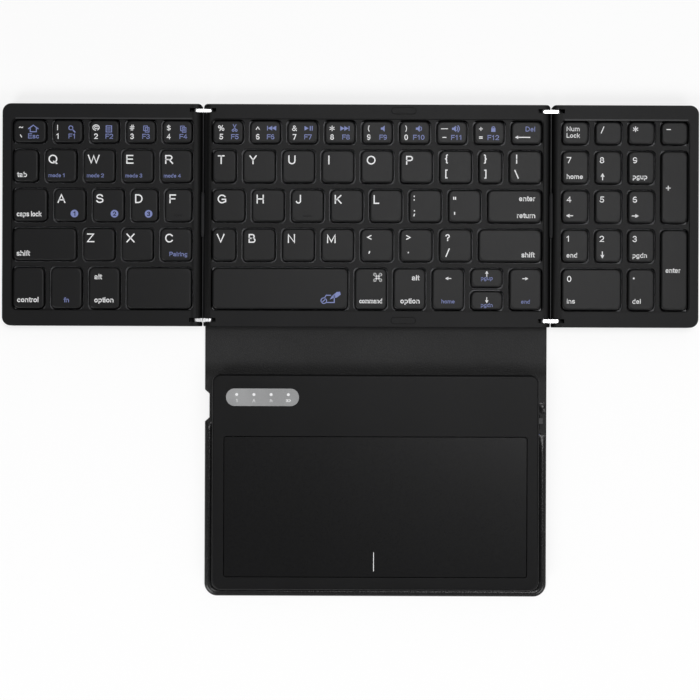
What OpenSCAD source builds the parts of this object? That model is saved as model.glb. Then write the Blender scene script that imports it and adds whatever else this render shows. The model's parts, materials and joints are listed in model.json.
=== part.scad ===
// Folding keyboard: three hinged key panels, and a touchpad on a cover that folds over them.
// It lies open and flat. +X is to the right, +Y is away from the user, +Z is up, in millimetres.
// The origin is on the table, under the middle of the whole.

/* [Key fields] */
// Width of the left panel's field of keys
left_field = 82.2; // [78:0.1:92]
// Width of the right panel's field of keys
right_field = 57.9; // [54:0.1:64]
// Edge of a side panel to its keys
side_margin = 4.75; // [4.6:0.05:7]
// Hinge line to the keys on the centre panel
center_margin = 4.2; // [4.1:0.05:6]
// Plain band behind the keys
back_band = 7.3; // [7:0.1:10]
// Plain band in front of the keys
front_band = 7.6; // [7.2:0.1:12]

/* [Keys] */
// Space between neighbouring keys
key_gap = 2.6; // [2:0.1:3]
// Width of a letter key on the centre panel
letter_w = 15.4; // [14.6:0.1:15.8]
// Width of a letter key on the left panel
left_letter_w = 15.0; // [14:0.1:15.6]
// Width of the two keys that end the left home row
home_end_w = 12.9; // [12:0.1:13.6]
// Width of a number key on the centre panel
number_w = 14.5; // [13.6:0.1:14.8]
// Width of a number key on the left panel
left_number_w = 14.1; // [13.4:0.1:14.6]
// Width of the narrow letter keys
narrow_w = 11.3; // [10.5:0.1:12.5]
// Width of the keys beside the long centre one
bottom_w = 15.1; // [14:0.1:16]
// Width of the modifier keys in the left front corner
modifier_w = 14.7; // [13:0.1:15.5]
// Depth of the number keys, front to back
number_d = 10.8; // [9.6:0.1:12]
// Depth of the letter keys
letter_d = 15.4; // [14:0.1:17]
// Depth of the front row
bottom_d = 19.4; // [18:0.1:22]
// Space between the two half keys
half_gap = 1.2; // [1:0.1:2]
// Corner radius of a key
key_r = 2.0; // [1.5:0.1:2.4]
// Height of a key cap
key_h = 2.4; // [2.1:0.1:3]
// Wall of a key cap
key_wall = 0.9; // [0.7:0.1:1.1]
// Roof of a key cap
key_roof = 1.0; // [0.8:0.1:1.2]
// Clearance of a key in its window
key_clear = 0.4; // [0.3:0.05:0.5]
// Key top to the top of the rim
key_drop = 0.1; // [0.05:0.01:0.2]
// Travel of a key
key_travel = 1.3; // [1:0.1:2]
// Space left under a pressed key
key_under = 0.7; // [0.5:0.05:1.2]

/* [Panels] */
// Corner radius of the outer corners
panel_r = 4.0; // [2.5:0.1:6]
// Corner radius beside a hinge, at the back
hinge_corner_r = 1.8; // [1:0.1:2.4]
// Corner radius beside a hinge, at the front
hinge_front_r = 0.6; // [0.4:0.05:1]
// Depth of the sunk field round the keys
recess_h = 1.0; // [0.6:0.1:1.2]
// Thickness of the web between the keys
web_t = 1.0; // [0.8:0.1:1.2]
// Border of the sunk field round the keys
field_border = 0.7; // [0.5:0.05:0.9]
// Wall of a panel frame
frame_wall = 1.6; // [1.2:0.1:2]
// Thickness of a panel's floor plate
floor_t = 0.8; // [0.6:0.1:1]
// Thickness of the steel plate under the keys
plate_t = 0.4; // [0.3:0.05:0.5]
// Thickness of the dome sheet
sheet_t = 0.3; // [0.2:0.05:0.4]
// Space between a fitted piece and what holds it
seat_clear = 0.05; // [0.03:0.01:0.1]
// Space between the side panels when they are folded in
meet_gap = 0.5; // [0.3:0.05:1]
// Length of a foot under a side panel
foot_l = 12; // [8:0.5:16]
// Width of a foot
foot_w = 5; // [3:0.1:7]
// Foot to the edges of its panel
foot_inset = 9; // [8:0.5:14]
// Length of a rubber pad on the centre panel's bands
bumper_l = 11; // [8:0.1:14]
// Width of a rubber pad
bumper_w = 2.75; // [2:0.05:3]
// Edge of the panel to the middle of a rubber pad
bumper_inset = 2.85; // [2.6:0.05:3.2]

/* [Hinges] */
// Gap between two panels
hinge_gap = 0.4; // [0.3:0.05:0.8]
// Thickness of a link plate
link_t = 1.5; // [1.4:0.05:1.7]
// End radius of a link plate
link_r = 1.4; // [1.2:0.05:1.6]
// Edge of the panel to the link plate
link_inset = 2.05; // [1.9:0.05:2.2]
// Space at the side of a link plate
link_clear = 0.2; // [0.1:0.01:0.3]
// Space past the end of a link plate
link_end_clear = 1.45; // [0.5:0.05:2]
// Radius of a link's pins
pin_r = 0.75; // [0.6:0.05:0.85]
// Running clearance round a pin
pin_clear = 0.05; // [0.03:0.01:0.1]
// Pin on the outer side of its link
pin_out = 1.1; // [0.8:0.05:1.2]
// Pin on the inner side of its link
pin_in = 1.9; // [1.5:0.1:2]
// Width of the flat cable at a hinge
cable_w = 20.6; // [15:0.1:30]
// Back edge to the flat cable
cable_inset = 40.2; // [30:0.1:50]
// Radius of the cable's fold over the gap
cable_bead_r = 0.8; // [0.6:0.05:0.85]

/* [Cover] */
// Left hinge line to the cover's left edge
cover_left = 0.9; // [0.8:0.05:3]
// Cover's right edge to the right hinge line
cover_right = 1.6; // [0.8:0.05:3]
// Back edge of the cover to the back edge of the panels
cover_back = 0.6; // [0:0.1:3]
// Flap past the back edge of the panels when it is closed
flap_over = 0.85; // [0:0.05:2]
// Thickness of the cover
cover_t = 1.0; // [0.8:0.05:1.4]
// Radius of the cover's corners
cover_r = 6.0; // [4:0.5:8]
// Space beside each fold line
fold_clear = 0.3; // [0.2:0.05:0.5]
// Space between the cover's stiff pieces at a fold line
fold_slit = 0.2; // [0.1:0.05:0.4]
// Space over the folded panels
close_gap = 1.05; // [0.6:0.05:2]

/* [Touchpad unit] */
// Cover that shows round the unit
pad_rim = 3.75; // [2.8:0.05:4]
// Corner radius of the unit
pad_r = 3.7; // [2.5:0.1:4.5]
// Wall of the unit's case
pad_wall = 1.5; // [1.3:0.05:1.6]
// Floor and roof of the unit's case
pad_skin = 1.0; // [0.9:0.05:1.2]
// Side edge of the unit to the touch surface
touch_side = 5.7; // [5.6:0.05:7]
// Front edge of the unit to the touch surface
touch_front = 6.15; // [5.7:0.05:7]
// Back edge of the unit to the touch surface
touch_back = 28.5; // [28:0.1:34]
// Thickness of the touch surface
touch_t = 1.6; // [1.2:0.1:2]
// Gap round the touch surface
touch_clear = 0.3; // [0.2:0.05:0.4]
// Touch surface to the top of the unit
touch_drop = 0.2; // [0.1:0.05:0.3]
// Press of the touch surface at its front edge
touch_press = 0.39; // [0.2:0.01:0.4]
// Length of the window over the lights
window_l = 33.4; // [30:0.1:40]
// Width of the window
window_w = 8.0; // [6:0.1:9]
// Left edge of the unit to the window
window_side = 6.4; // [6:0.1:12]
// Back edge of the unit to the window
window_back = 6.4; // [5.5:0.1:8]
// Distance between the lights
light_pitch = 7.87; // [7:0.01:8.4]
// Radius of a light
light_r = 0.73; // [0.5:0.01:1]
// Back edge of the window to the lights
light_inset = 2.75; // [2:0.05:4]
// Thickness of the unit's circuit board
board_t = 0.8; // [0.6:0.05:1.2]
// Board's underside to the floor
board_lift = 0.6; // [0.4:0.05:1]
// Space round the board
board_clear = 0.5; // [0.3:0.05:0.8]
// Width of the battery
battery_w = 70; // [50:1:90]
// Depth of the battery
battery_d = 40; // [30:1:44]
// Thickness of the battery
battery_t = 3.0; // [2.4:0.1:3.4]
// Width of the charging socket
port_w = 8.94; // [8.6:0.02:9.4]
// Height of the charging socket
port_h = 3.2; // [3:0.02:3.6]
// Depth of the charging socket
port_d = 7.3; // [6.5:0.1:9]
// Wall of the charging socket
port_wall = 0.3; // [0.25:0.05:0.4]
// Space over the charging socket
port_over = 0.4; // [0.2:0.05:1]
// Back edge of the unit to the middle of the socket
port_inset = 14.45; // [12:0.05:18]
// Length of the cover's notch at the socket
notch_l = 11.0; // [10:0.1:14]
// Depth of the notch
notch_d = 2.06; // [1:0.02:2.6]
// Slope at each end of the notch
notch_slope = 1.85; // [1:0.05:3]
// Length of the switch knob
knob_l = 2.75; // [2:0.05:4]
// Height of the switch knob
knob_h = 1.3; // [1:0.05:1.6]
// Knob's reach past the case
knob_reach = 2.0; // [1.4:0.1:2.6]
// Travel of the switch
knob_travel = 2.0; // [1.5:0.1:3]
// Back edge of the unit to the knob's middle
knob_inset = 21.0; // [19:0.1:22]
// Radius of a screw
screw_r = 0.75; // [0.6:0.05:0.8]
// Length of a screw's shank
screw_len = 3.4; // [2.5:0.1:4]
// Edge of the unit to a screw's axis
screw_inset = 3.4; // [3.2:0.05:3.6]

/* [Hidden] */
$fn = 64;
eps = 0.01;
over = 1;

// Heights
panel_t = floor_t + plate_t + sheet_t + key_under + key_travel + key_h + key_drop;
panel_z0 = cover_t;
panel_z1 = panel_z0 + panel_t;
barrel_r = panel_t / 2;
pivot_z = panel_z0 + barrel_r;
pivot_gap = 2 * barrel_r + hinge_gap;
slot_len = pivot_gap + 2 * (link_r + link_end_clear);
web_z1 = panel_z1 - recess_h;
web_z0 = web_z1 - web_t;
key_z1 = panel_z1 - key_drop;
key_z0 = key_z1 - key_h;
plate_z = panel_z0 + floor_t;
sheet_z = plate_z + plate_t;
dome_z = sheet_z + sheet_t;
pad_t = 2 * pad_skin + board_lift + board_t + port_h + port_over;
pad_z0 = cover_t;
pad_z1 = pad_z0 + pad_t;

// Rows of keys, by width. A width of 0 takes what is left of the row.
left_rows = [
    [0, left_number_w, left_number_w, left_number_w, left_number_w],
    [0, left_letter_w, left_letter_w, left_letter_w, left_letter_w],
    [0, left_letter_w, left_letter_w, home_end_w, home_end_w],
    [0, left_letter_w, left_letter_w, left_letter_w],
    [modifier_w, modifier_w, modifier_w, 0]
];
center_rows = [
    concat([for (i = [1:8]) number_w], [0]),
    concat([narrow_w], [for (i = [1:6]) letter_w], [narrow_w, 0]),
    concat([for (i = [1:7]) letter_w], [0]),
    concat([narrow_w], [for (i = [1:6]) letter_w], [0]),
    concat([0], [for (i = [1:5]) bottom_w])
];
row_depths = [number_d, letter_d, letter_d, letter_d, bottom_d];
number_row = 0;
upper_row = 1;
home_row = 2;
lower_row = 3;
front_row = 4;

// Plan of the whole. Folded in, the side panels meet over the centre one, and the flap covers them.
rows_d = sum(row_depths, len(row_depths)) + key_gap * (len(row_depths) - 1);
panel_d = back_band + rows_d + front_band;
left_w = left_field + 2 * side_margin;
right_w = right_field + 2 * side_margin;
center_w = left_w + right_w + meet_gap;
center_field = center_w - 2 * center_margin;
foot_t = cover_t;
stack_h = 2 * panel_t + hinge_gap + foot_t;
spine_d = stack_h + close_gap + pad_t;
flap_d = panel_d + flap_over;
whole_w = left_w + center_w + right_w;
whole_d = panel_d + fold_clear + spine_d + flap_d;
left_x = -whole_w / 2;
hinge_left_x = left_x + left_w;
hinge_right_x = hinge_left_x + center_w;
right_x = whole_w / 2;
back_y = whole_d / 2;
front_y = back_y - panel_d;
panel_mid_y = (back_y + front_y) / 2;
fold_y = front_y - fold_clear;
pad_fold_y = fold_y - spine_d;
cover_x = hinge_left_x + cover_left;
cover_w = center_w - cover_left - cover_right;
cover_front_y = pad_fold_y - flap_d;

// Touchpad unit
pad_w = cover_w - 2 * pad_rim;
pad_d = flap_d - fold_clear - pad_rim;
pad_x = cover_x + pad_rim;
pad_back_y = pad_fold_y - fold_clear;
pad_y = pad_back_y - pad_d;
case_floor_z = pad_z0 + pad_skin;
case_roof_z = pad_z1 - pad_skin;
touch_w = pad_w - 2 * touch_side;
touch_d = pad_d - touch_front - touch_back;
touch_x = pad_x + touch_side;
touch_y = pad_y + touch_front;
touch_z0 = pad_z1 - touch_drop - touch_t;
touch_r = 1.0;
window_x = pad_x + window_side;
window_y = pad_back_y - window_back - window_w;
window_t = 0.8;
boss_r = 1.7;
board_z = case_floor_z + board_lift;
board_top_z = board_z + board_t;
board_x = pad_x + screw_inset + boss_r + board_clear;
board_w = pad_w - 2 * (board_x - pad_x);
board_y = pad_back_y - touch_back + board_clear;
board_d = touch_back - pad_wall - 2 * board_clear;
case_split_drop = 0.2;
case_split_z = board_top_z - case_split_drop;
port_y = pad_back_y - port_inset;
port_z = board_top_z + port_h / 2;
knob_y = pad_back_y - knob_inset;
knob_plate_t = 1.0;
knob_plate_lap = [1.2, 0.5];
knob_plate = [knob_plate_t, knob_l + 2 * knob_plate_lap[0], knob_h + 2 * knob_plate_lap[1]];
knob_z = board_top_z + knob_plate[2] / 2 + seat_clear;
click_size = 5;
click_h = 0.8;
click_button_r = 1.5;
click_button_h = 0.35;
click_clear = 0.06;
click_x = touch_x + touch_w / 2;
click_inset = 5.5;
click_y = touch_y + click_inset;
click_top_z = touch_z0 - touch_press - click_clear;
click_body_z = click_top_z - click_button_h - click_h;
screw_head_r = 1.4;
screw_head_h = 0.45;

// Parts inside the panels
dome_r = 2.8;
dome_tip_r = 1.5;
dome_tip_z = key_z1 - key_roof - seat_clear;
bumper_sink = 0.8;
control_size = [72, 4.4, 0.8];
chip_size = [9, 3.2, 0.9];

// Colours
case_black = [0.13, 0.13, 0.135];
key_black = [0.16, 0.16, 0.165];
leather_black = [0.19, 0.19, 0.19];
steel = [0.75, 0.76, 0.78];
rubber_grey = [0.3, 0.3, 0.31];
board_green = [0.1, 0.3, 0.18];

// ---- Where the keys lie ----

function sum(v, n) = n <= 0 ? 0 : v[n - 1] + sum(v, n - 1);
function slice(v, first, last) = [for (i = [first:last]) v[i]];
function filled(row, total) =
    let (rest = total - sum(row, len(row)) - key_gap * (len(row) - 1))
    [for (w = row) w > 0 ? w : rest];
function row_y(r) = back_y - back_band - sum(row_depths, r + 1) - r * key_gap;

// The keys of one row, each as [x, y, width, depth] from its near left corner
function row_keys(rows, r, x, total) =
    let (row = filled(rows[r], total))
    [for (i = [0:len(row) - 1]) [x + sum(row, i) + i * key_gap, row_y(r), row[i], row_depths[r]]];

left_field_x = left_x + side_margin;
center_field_x = hinge_left_x + center_margin;
right_field_x = hinge_right_x + side_margin;
function left_keys(r) = row_keys(left_rows, r, left_field_x, left_field);
function center_keys(r) = row_keys(center_rows, r, center_field_x, center_field);

// The split key of the front row is two half keys, one behind the other.
split_column = 4;
half_d = (bottom_d - half_gap) / 2;
function half_key(back) =
    let (k = center_keys(front_row)[split_column])
    [k[0], k[1] + (back ? half_d + half_gap : 0), k[2], half_d];

// The number pad has four equal columns, and some of its keys take two columns or two rows.
pad_key_w = (right_field - 3 * key_gap) / 4;
function pad_key(column, row, columns = 1, rows = 1) = [
    right_field_x + column * (pad_key_w + key_gap),
    row_y(row + rows - 1),
    columns * pad_key_w + (columns - 1) * key_gap,
    sum([for (r = [row:row + rows - 1]) row_depths[r]], rows) + (rows - 1) * key_gap
];
function pad_keys(row, columns) = [for (c = [0:columns - 1]) pad_key(c, row)];
plus_key = pad_key(3, upper_row, 1, 2);
enter_key = pad_key(3, lower_row, 1, 2);
zero_key = pad_key(0, front_row, 2, 1);
dot_key = pad_key(2, front_row);

all_left = [for (r = [0:front_row]) each left_keys(r)];
all_center = concat(
    [for (r = [0:lower_row]) each center_keys(r)],
    slice(center_keys(front_row), 0, split_column - 1),
    [half_key(true), half_key(false), center_keys(front_row)[split_column + 1]]
);
all_right = concat(
    pad_keys(number_row, 4), pad_keys(upper_row, 3), pad_keys(home_row, 3), pad_keys(lower_row, 3),
    [plus_key, enter_key, zero_key, dot_key]
);

// ---- Shapes used more than once ----

// A rectangle from the origin, with one radius at its left corners and one at its right
module two_radius_rect(size, left_r, right_r) {
    translate([left_r, 0]) square([size[0] - left_r - right_r, size[1]]);
    translate([0, left_r]) square([left_r + eps, size[1] - 2 * left_r]);
    translate([size[0] - right_r - eps, right_r]) square([right_r + eps, size[1] - 2 * right_r]);
    for (y = [left_r, size[1] - left_r]) translate([left_r, y]) circle(left_r);
    for (y = [right_r, size[1] - right_r]) translate([size[0] - right_r, y]) circle(right_r);
}

module rounded_rect(size, r) {
    two_radius_rect(size, r, r);
}

module rounded_box(size, r) {
    linear_extrude(size[2]) rounded_rect([size[0], size[1]], r);
}

// A flat bar with round ends, along X from the origin to length
module round_bar(length, r) {
    translate([0, -r]) square([length, 2 * r]);
    circle(r);
    translate([length, 0]) circle(r);
}

// Draws its children at the panels' back edge and, mirrored, at their front edge.
// There y = 0 is the edge, and the panel lies on the side of negative y.
module at_both_ends() {
    for (side = [0, 1])
        translate([0, panel_mid_y, 0]) mirror([0, side, 0]) translate([0, panel_d / 2, 0])
            children();
}

// A cylinder along Y, from y down to y - length
module rod_back(r, y, length) {
    translate([0, y, 0]) rotate([90, 0, 0]) cylinder(r = r, h = length);
}

// ---- Key panels ----

// A panel as a solid slab from x0 to x1, with a round edge at each hinge
module slab(x0, x1, hinge_at_x0, hinge_at_x1) {
    a = x0 + (hinge_at_x0 ? barrel_r : 0);
    b = x1 - (hinge_at_x1 ? barrel_r : 0);
    r0 = hinge_at_x0 ? hinge_corner_r : panel_r;
    r1 = hinge_at_x1 ? hinge_corner_r : panel_r;
    intersection() {
        translate([0, back_y, 0]) rotate([90, 0, 0]) linear_extrude(panel_d) {
            translate([a, panel_z0]) square([b - a, panel_t]);
            if (hinge_at_x0) translate([a, pivot_z]) circle(barrel_r);
            if (hinge_at_x1) translate([b, pivot_z]) circle(barrel_r);
        }
        translate([x0, front_y, panel_z0 - over]) linear_extrude(panel_t + 2 * over) {
            two_radius_rect([x1 - x0, panel_d], r0, r1);
            if (hinge_at_x0) hinge_side();
            if (hinge_at_x1) translate([x1 - x0 - 2 * hinge_corner_r, 0]) hinge_side();
        }
    }
}

// The side of a panel's outline beside a hinge, up to its back corner
module hinge_side() {
    rounded_rect([2 * hinge_corner_r, panel_d - hinge_corner_r], hinge_front_r);
}

// The outline of a panel's hollow, drawn in by inset. Solid blocks stay at the hinge ends.
module hollow_plan(x0, x1, hinge_at_x0, hinge_at_x1, margin, inset) {
    hinge_wall = margin - hinge_gap / 2 - key_clear;
    a = x0 + inset + (hinge_at_x0 ? hinge_wall : frame_wall);
    b = x1 - inset - (hinge_at_x1 ? hinge_wall : frame_wall);
    block_w = slot_len / 2 + frame_wall + inset;
    difference() {
        translate([a, front_y + frame_wall + inset])
            square([b - a, panel_d - 2 * frame_wall - 2 * inset]);
        if (hinge_at_x0) hinge_blocks(x0, block_w, inset);
        if (hinge_at_x1) hinge_blocks(x1 - block_w, block_w, inset);
    }
}

module hinge_blocks(x, block_w, inset) {
    front_d = front_band - key_clear + inset;
    back_d = back_band - key_clear + inset;
    translate([x, front_y]) square([block_w, front_d]);
    translate([x, back_y - back_d]) square([block_w, back_d]);
}

// Slots and bores for the links of the hinge at x, and the slot for its flat cable
module hinge_cuts(x) {
    slot_z = pivot_z - link_r - 2 * link_clear;
    bore_over = 0.1;
    at_both_ends() {
        translate([x - slot_len / 2, -link_inset - link_t - link_clear, slot_z])
            cube([slot_len, link_t + 2 * link_clear, panel_z1 - slot_z + over]);
        for (side = [-1, 1])
            translate([x + side * pivot_gap / 2, 0, pivot_z])
                rod_back(pin_r + pin_clear, pin_out - link_inset + bore_over,
                    pin_out + link_t + pin_in + 2 * bore_over);
    }
    translate([x - side_margin, back_y - cable_inset - cable_w - key_clear, pivot_z - key_clear])
        cube([2 * side_margin, cable_w + 2 * key_clear, 2 * key_clear]);
}

module key_windows(keys) {
    for (k = keys)
        translate([k[0] - key_clear, k[1] - key_clear, web_z0 - over])
            rounded_box([k[2] + 2 * key_clear, k[3] + 2 * key_clear, web_t + 2 * over],
                key_r + key_clear);
}

module field_recess(x, width) {
    translate([x - field_border, row_y(front_row) - field_border, web_z1])
        rounded_box([width + 2 * field_border, rows_d + 2 * field_border, recess_h + over],
            key_r + field_border);
}

module frame(x0, x1, hinge_at_x0, hinge_at_x1, margin, field_x, field_w, keys) {
    difference() {
        slab(x0, x1, hinge_at_x0, hinge_at_x1);
        translate([0, 0, panel_z0 - over]) linear_extrude(web_z0 - panel_z0 + over)
            hollow_plan(x0, x1, hinge_at_x0, hinge_at_x1, margin, 0);
        field_recess(field_x, field_w);
        key_windows(keys);
    }
}

module floor_plate(x0, x1, hinge_at_x0, hinge_at_x1, margin) {
    translate([0, 0, panel_z0]) linear_extrude(floor_t)
        hollow_plan(x0, x1, hinge_at_x0, hinge_at_x1, margin, seat_clear);
}

module switch_plate(x, width) {
    translate([x, row_y(front_row), plate_z]) cube([width, rows_d, plate_t]);
}

module dome_sheet(x, width, keys) {
    translate([x, row_y(front_row), sheet_z]) cube([width, rows_d, sheet_t]);
    for (k = keys)
        translate([k[0] + k[2] / 2, k[1] + k[3] / 2, dome_z - eps])
            cylinder(r1 = dome_r, r2 = dome_tip_r, h = dome_tip_z - dome_z + eps);
}

module key_cap(k) {
    translate([k[0], k[1], key_z0]) difference() {
        rounded_box([k[2], k[3], key_h], key_r);
        translate([key_wall, key_wall, -over])
            rounded_box([k[2] - 2 * key_wall, k[3] - 2 * key_wall, key_h - key_roof + over],
                key_r - key_wall);
    }
}

module key_caps(keys) {
    color(key_black) for (k = keys) key_cap(k);
}

module feet(x0, x1) {
    color(rubber_grey)
        for (x = [x0 + foot_inset, x1 - foot_inset - foot_l],
             y = [front_y + foot_inset, back_y - foot_inset - foot_w])
            translate([x, y, panel_z0 - foot_t]) rounded_box([foot_l, foot_w, foot_t], foot_w / 2 - eps);
}

// Two link plates and their pins, at both ends of the hinge at x
module links(x) {
    color(steel) at_both_ends() translate([x - pivot_gap / 2, -link_inset, pivot_z]) {
        rotate([90, 0, 0]) linear_extrude(link_t) round_bar(pivot_gap, link_r);
        for (pin_x = [0, pivot_gap])
            translate([pin_x, 0, 0]) rod_back(pin_r, pin_out, pin_out + link_t + pin_in);
    }
}

// ---- Centre panel ----

center_x0 = hinge_left_x + hinge_gap / 2;
center_x1 = hinge_right_x - hinge_gap / 2;
meet_x = hinge_left_x + left_w + meet_gap / 2;

module bumper(height) {
    at_both_ends() translate([meet_x - bumper_l / 2, -bumper_inset - bumper_w / 2, 0])
        rounded_box([bumper_l, bumper_w, height], bumper_w / 2 - eps);
}

module center_frame() {
    color(case_black) difference() {
        frame(center_x0, center_x1, true, true, center_margin, center_field_x, center_field,
            all_center);
        hinge_cuts(hinge_left_x);
        hinge_cuts(hinge_right_x);
        translate([0, 0, panel_z1 - bumper_sink]) bumper(bumper_sink + over);
    }
}

module center_base() {
    color(case_black) floor_plate(center_x0, center_x1, true, true, center_margin);
}

module center_switch_plate() {
    color(steel) switch_plate(center_field_x, center_field);
}

module center_domes() {
    color(rubber_grey) dome_sheet(center_field_x, center_field, all_center);
}

// The board that reads the keys lies in the plain band in front of them.
module controller_board() {
    board_front = front_y + frame_wall + key_clear;
    color(board_green) translate([meet_x - control_size[0] / 2, board_front, plate_z]) {
        cube(control_size);
        for (i = [1:3])
            translate([i * control_size[0] / 4 - chip_size[0] / 2,
                       (control_size[1] - chip_size[1]) / 2, control_size[2] - eps])
                cube([chip_size[0], chip_size[1], chip_size[2] + eps]);
    }
}

module center_bumpers() {
    color(rubber_grey) translate([0, 0, panel_z1 - bumper_sink]) bumper(bumper_sink + hinge_gap / 2);
}

module flex_cables() {
    ribbon_t = 0.3;
    web_gap = hinge_gap / 2;
    reach = center_margin - key_clear;
    bead_z = sqrt(pow(barrel_r + cable_bead_r + seat_clear, 2) - pow(pivot_gap / 2, 2));
    color(rubber_grey)
        for (x = [hinge_left_x, hinge_right_x])
            translate([x, back_y - cable_inset, pivot_z]) {
                translate([-reach, -cable_w, -ribbon_t / 2]) cube([2 * reach, cable_w, ribbon_t]);
                translate([-web_gap / 2, -cable_w, 0]) cube([web_gap, cable_w, bead_z]);
                translate([0, 0, bead_z]) rod_back(cable_bead_r, 0, cable_w);
            }
}

// ---- Side panels ----

left_x1 = hinge_left_x - hinge_gap / 2;
right_x0 = hinge_right_x + hinge_gap / 2;

module left_frame() {
    color(case_black) difference() {
        frame(left_x, left_x1, false, true, side_margin, left_field_x, left_field, all_left);
        hinge_cuts(hinge_left_x);
    }
}

module left_base() {
    color(case_black) floor_plate(left_x, left_x1, false, true, side_margin);
}

module left_switch_plate() {
    color(steel) switch_plate(left_field_x, left_field);
}

module left_domes() {
    color(rubber_grey) dome_sheet(left_field_x, left_field, all_left);
}

module left_feet() {
    feet(left_x, left_x1);
}

module left_links() {
    links(hinge_left_x);
}

module right_frame() {
    color(case_black) difference() {
        frame(right_x0, right_x, true, false, side_margin, right_field_x, right_field, all_right);
        hinge_cuts(hinge_right_x);
    }
}

module right_base() {
    color(case_black) floor_plate(right_x0, right_x, true, false, side_margin);
}

module right_switch_plate() {
    color(steel) switch_plate(right_field_x, right_field);
}

module right_domes() {
    color(rubber_grey) dome_sheet(right_field_x, right_field, all_right);
}

module right_feet() {
    feet(right_x0, right_x);
}

module right_links() {
    links(hinge_right_x);
}

// ---- Keys ----

module left_number_keys() { key_caps(left_keys(number_row)); }
module left_tab_caps_keys() { key_caps([left_keys(upper_row)[0], left_keys(home_row)[0]]); }
module left_upper_letter_keys() { key_caps(slice(left_keys(upper_row), 1, 4)); }
module left_home_letter_keys() { key_caps(slice(left_keys(home_row), 1, 4)); }
module left_shift_key() { key_caps([left_keys(lower_row)[0]]); }
module left_lower_letter_keys() { key_caps(slice(left_keys(lower_row), 1, 3)); }
module left_modifier_keys() { key_caps(slice(left_keys(front_row), 0, 2)); }
module left_space_key() { key_caps([left_keys(front_row)[3]]); }
module center_number_keys() { key_caps(center_keys(number_row)); }
module center_upper_letter_keys() { key_caps(center_keys(upper_row)); }
module center_home_letter_keys() { key_caps(slice(center_keys(home_row), 0, 6)); }
module center_enter_key() { key_caps([center_keys(home_row)[7]]); }
module center_lower_letter_keys() { key_caps(slice(center_keys(lower_row), 0, 6)); }
module center_shift_key() { key_caps([center_keys(lower_row)[7]]); }
module center_space_key() { key_caps([center_keys(front_row)[0]]); }
module center_modifier_keys() { key_caps(slice(center_keys(front_row), 1, 2)); }
module left_arrow_key() { key_caps([center_keys(front_row)[3]]); }
module up_arrow_key() { key_caps([half_key(true)]); }
module down_arrow_key() { key_caps([half_key(false)]); }
module right_arrow_key() { key_caps([center_keys(front_row)[5]]); }
module numpad_top_keys() { key_caps(pad_keys(number_row, 4)); }
module numpad_upper_keys() { key_caps(pad_keys(upper_row, 3)); }
module numpad_middle_keys() { key_caps(pad_keys(home_row, 3)); }
module numpad_lower_keys() { key_caps(pad_keys(lower_row, 3)); }
module numpad_plus_key() { key_caps([plus_key]); }
module numpad_enter_key() { key_caps([enter_key]); }
module numpad_zero_dot_keys() { key_caps([zero_key, dot_key]); }

// ---- Cover ----

module cover_center() {
    color(leather_black) translate([cover_x, fold_y, 0])
        cube([cover_w, back_y - cover_back - fold_y, cover_t]);
}

module cover_spine() {
    color(leather_black) translate([cover_x, pad_fold_y + fold_slit, 0])
        cube([cover_w, spine_d - 2 * fold_slit, cover_t]);
}

// The flap has round front corners, and a notch at the charging socket.
module cover_flap() {
    half = notch_l / 2;
    color(leather_black) linear_extrude(cover_t) difference() {
        union() {
            translate([cover_x, cover_front_y])
                rounded_rect([cover_w, flap_d], cover_r);
            translate([cover_x, pad_fold_y - 2 * cover_r]) square([cover_w, 2 * cover_r]);
        }
        translate([cover_x, port_y])
            polygon([
                [-over, -half - notch_slope], [0, -half - notch_slope],
                [notch_d, -half], [notch_d, half],
                [0, half + notch_slope], [-over, half + notch_slope]
            ]);
    }
}

// ---- Touchpad unit ----

// Draws its children at the unit's four screws.
module at_screws() {
    for (x = [pad_x + screw_inset, pad_x + pad_w - screw_inset],
         y = [pad_y + screw_inset, pad_back_y - screw_inset])
        translate([x, y, 0]) children();
}

module case_plan(inset) {
    translate([pad_x + inset, pad_y + inset])
        rounded_rect([pad_w - 2 * inset, pad_d - 2 * inset], pad_r - inset);
}

module touchpad_base() {
    post_r = 1.6;
    post_inset = 3;
    rest = [6, 2, touch_z0 - seat_clear - case_floor_z + eps];
    rest_inset = 4;
    color(case_black) difference() {
        union() {
            translate([0, 0, pad_z0]) linear_extrude(pad_skin) case_plan(0);
            translate([0, 0, pad_z0]) linear_extrude(case_split_z - pad_z0) difference() {
                case_plan(0);
                case_plan(pad_wall);
            }
            // Posts under the circuit board
            for (x = [board_x + post_inset, click_x, board_x + board_w - post_inset],
                 y = [board_y + post_inset, board_y + board_d - post_inset])
                translate([x, y, case_floor_z - eps]) cylinder(r = post_r, h = board_lift + eps);
            // Rests under the back edge of the touch surface
            for (x = [touch_x + rest_inset, touch_x + touch_w - rest_inset - rest[0]])
                translate([x, touch_y + touch_d - rest[1], case_floor_z - eps]) cube(rest);
            // Block under the click switch
            translate([click_x - click_size / 2, click_y - click_size / 2, case_floor_z - eps])
                cube([click_size, click_size, click_body_z - case_floor_z + eps]);
        }
        at_screws() {
            translate([0, 0, pad_z0 - over]) cylinder(r = screw_r + seat_clear, h = pad_t);
            translate([0, 0, pad_z0 - over])
                cylinder(r = screw_head_r + seat_clear, h = screw_head_h + seat_clear + over);
        }
    }
}

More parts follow.
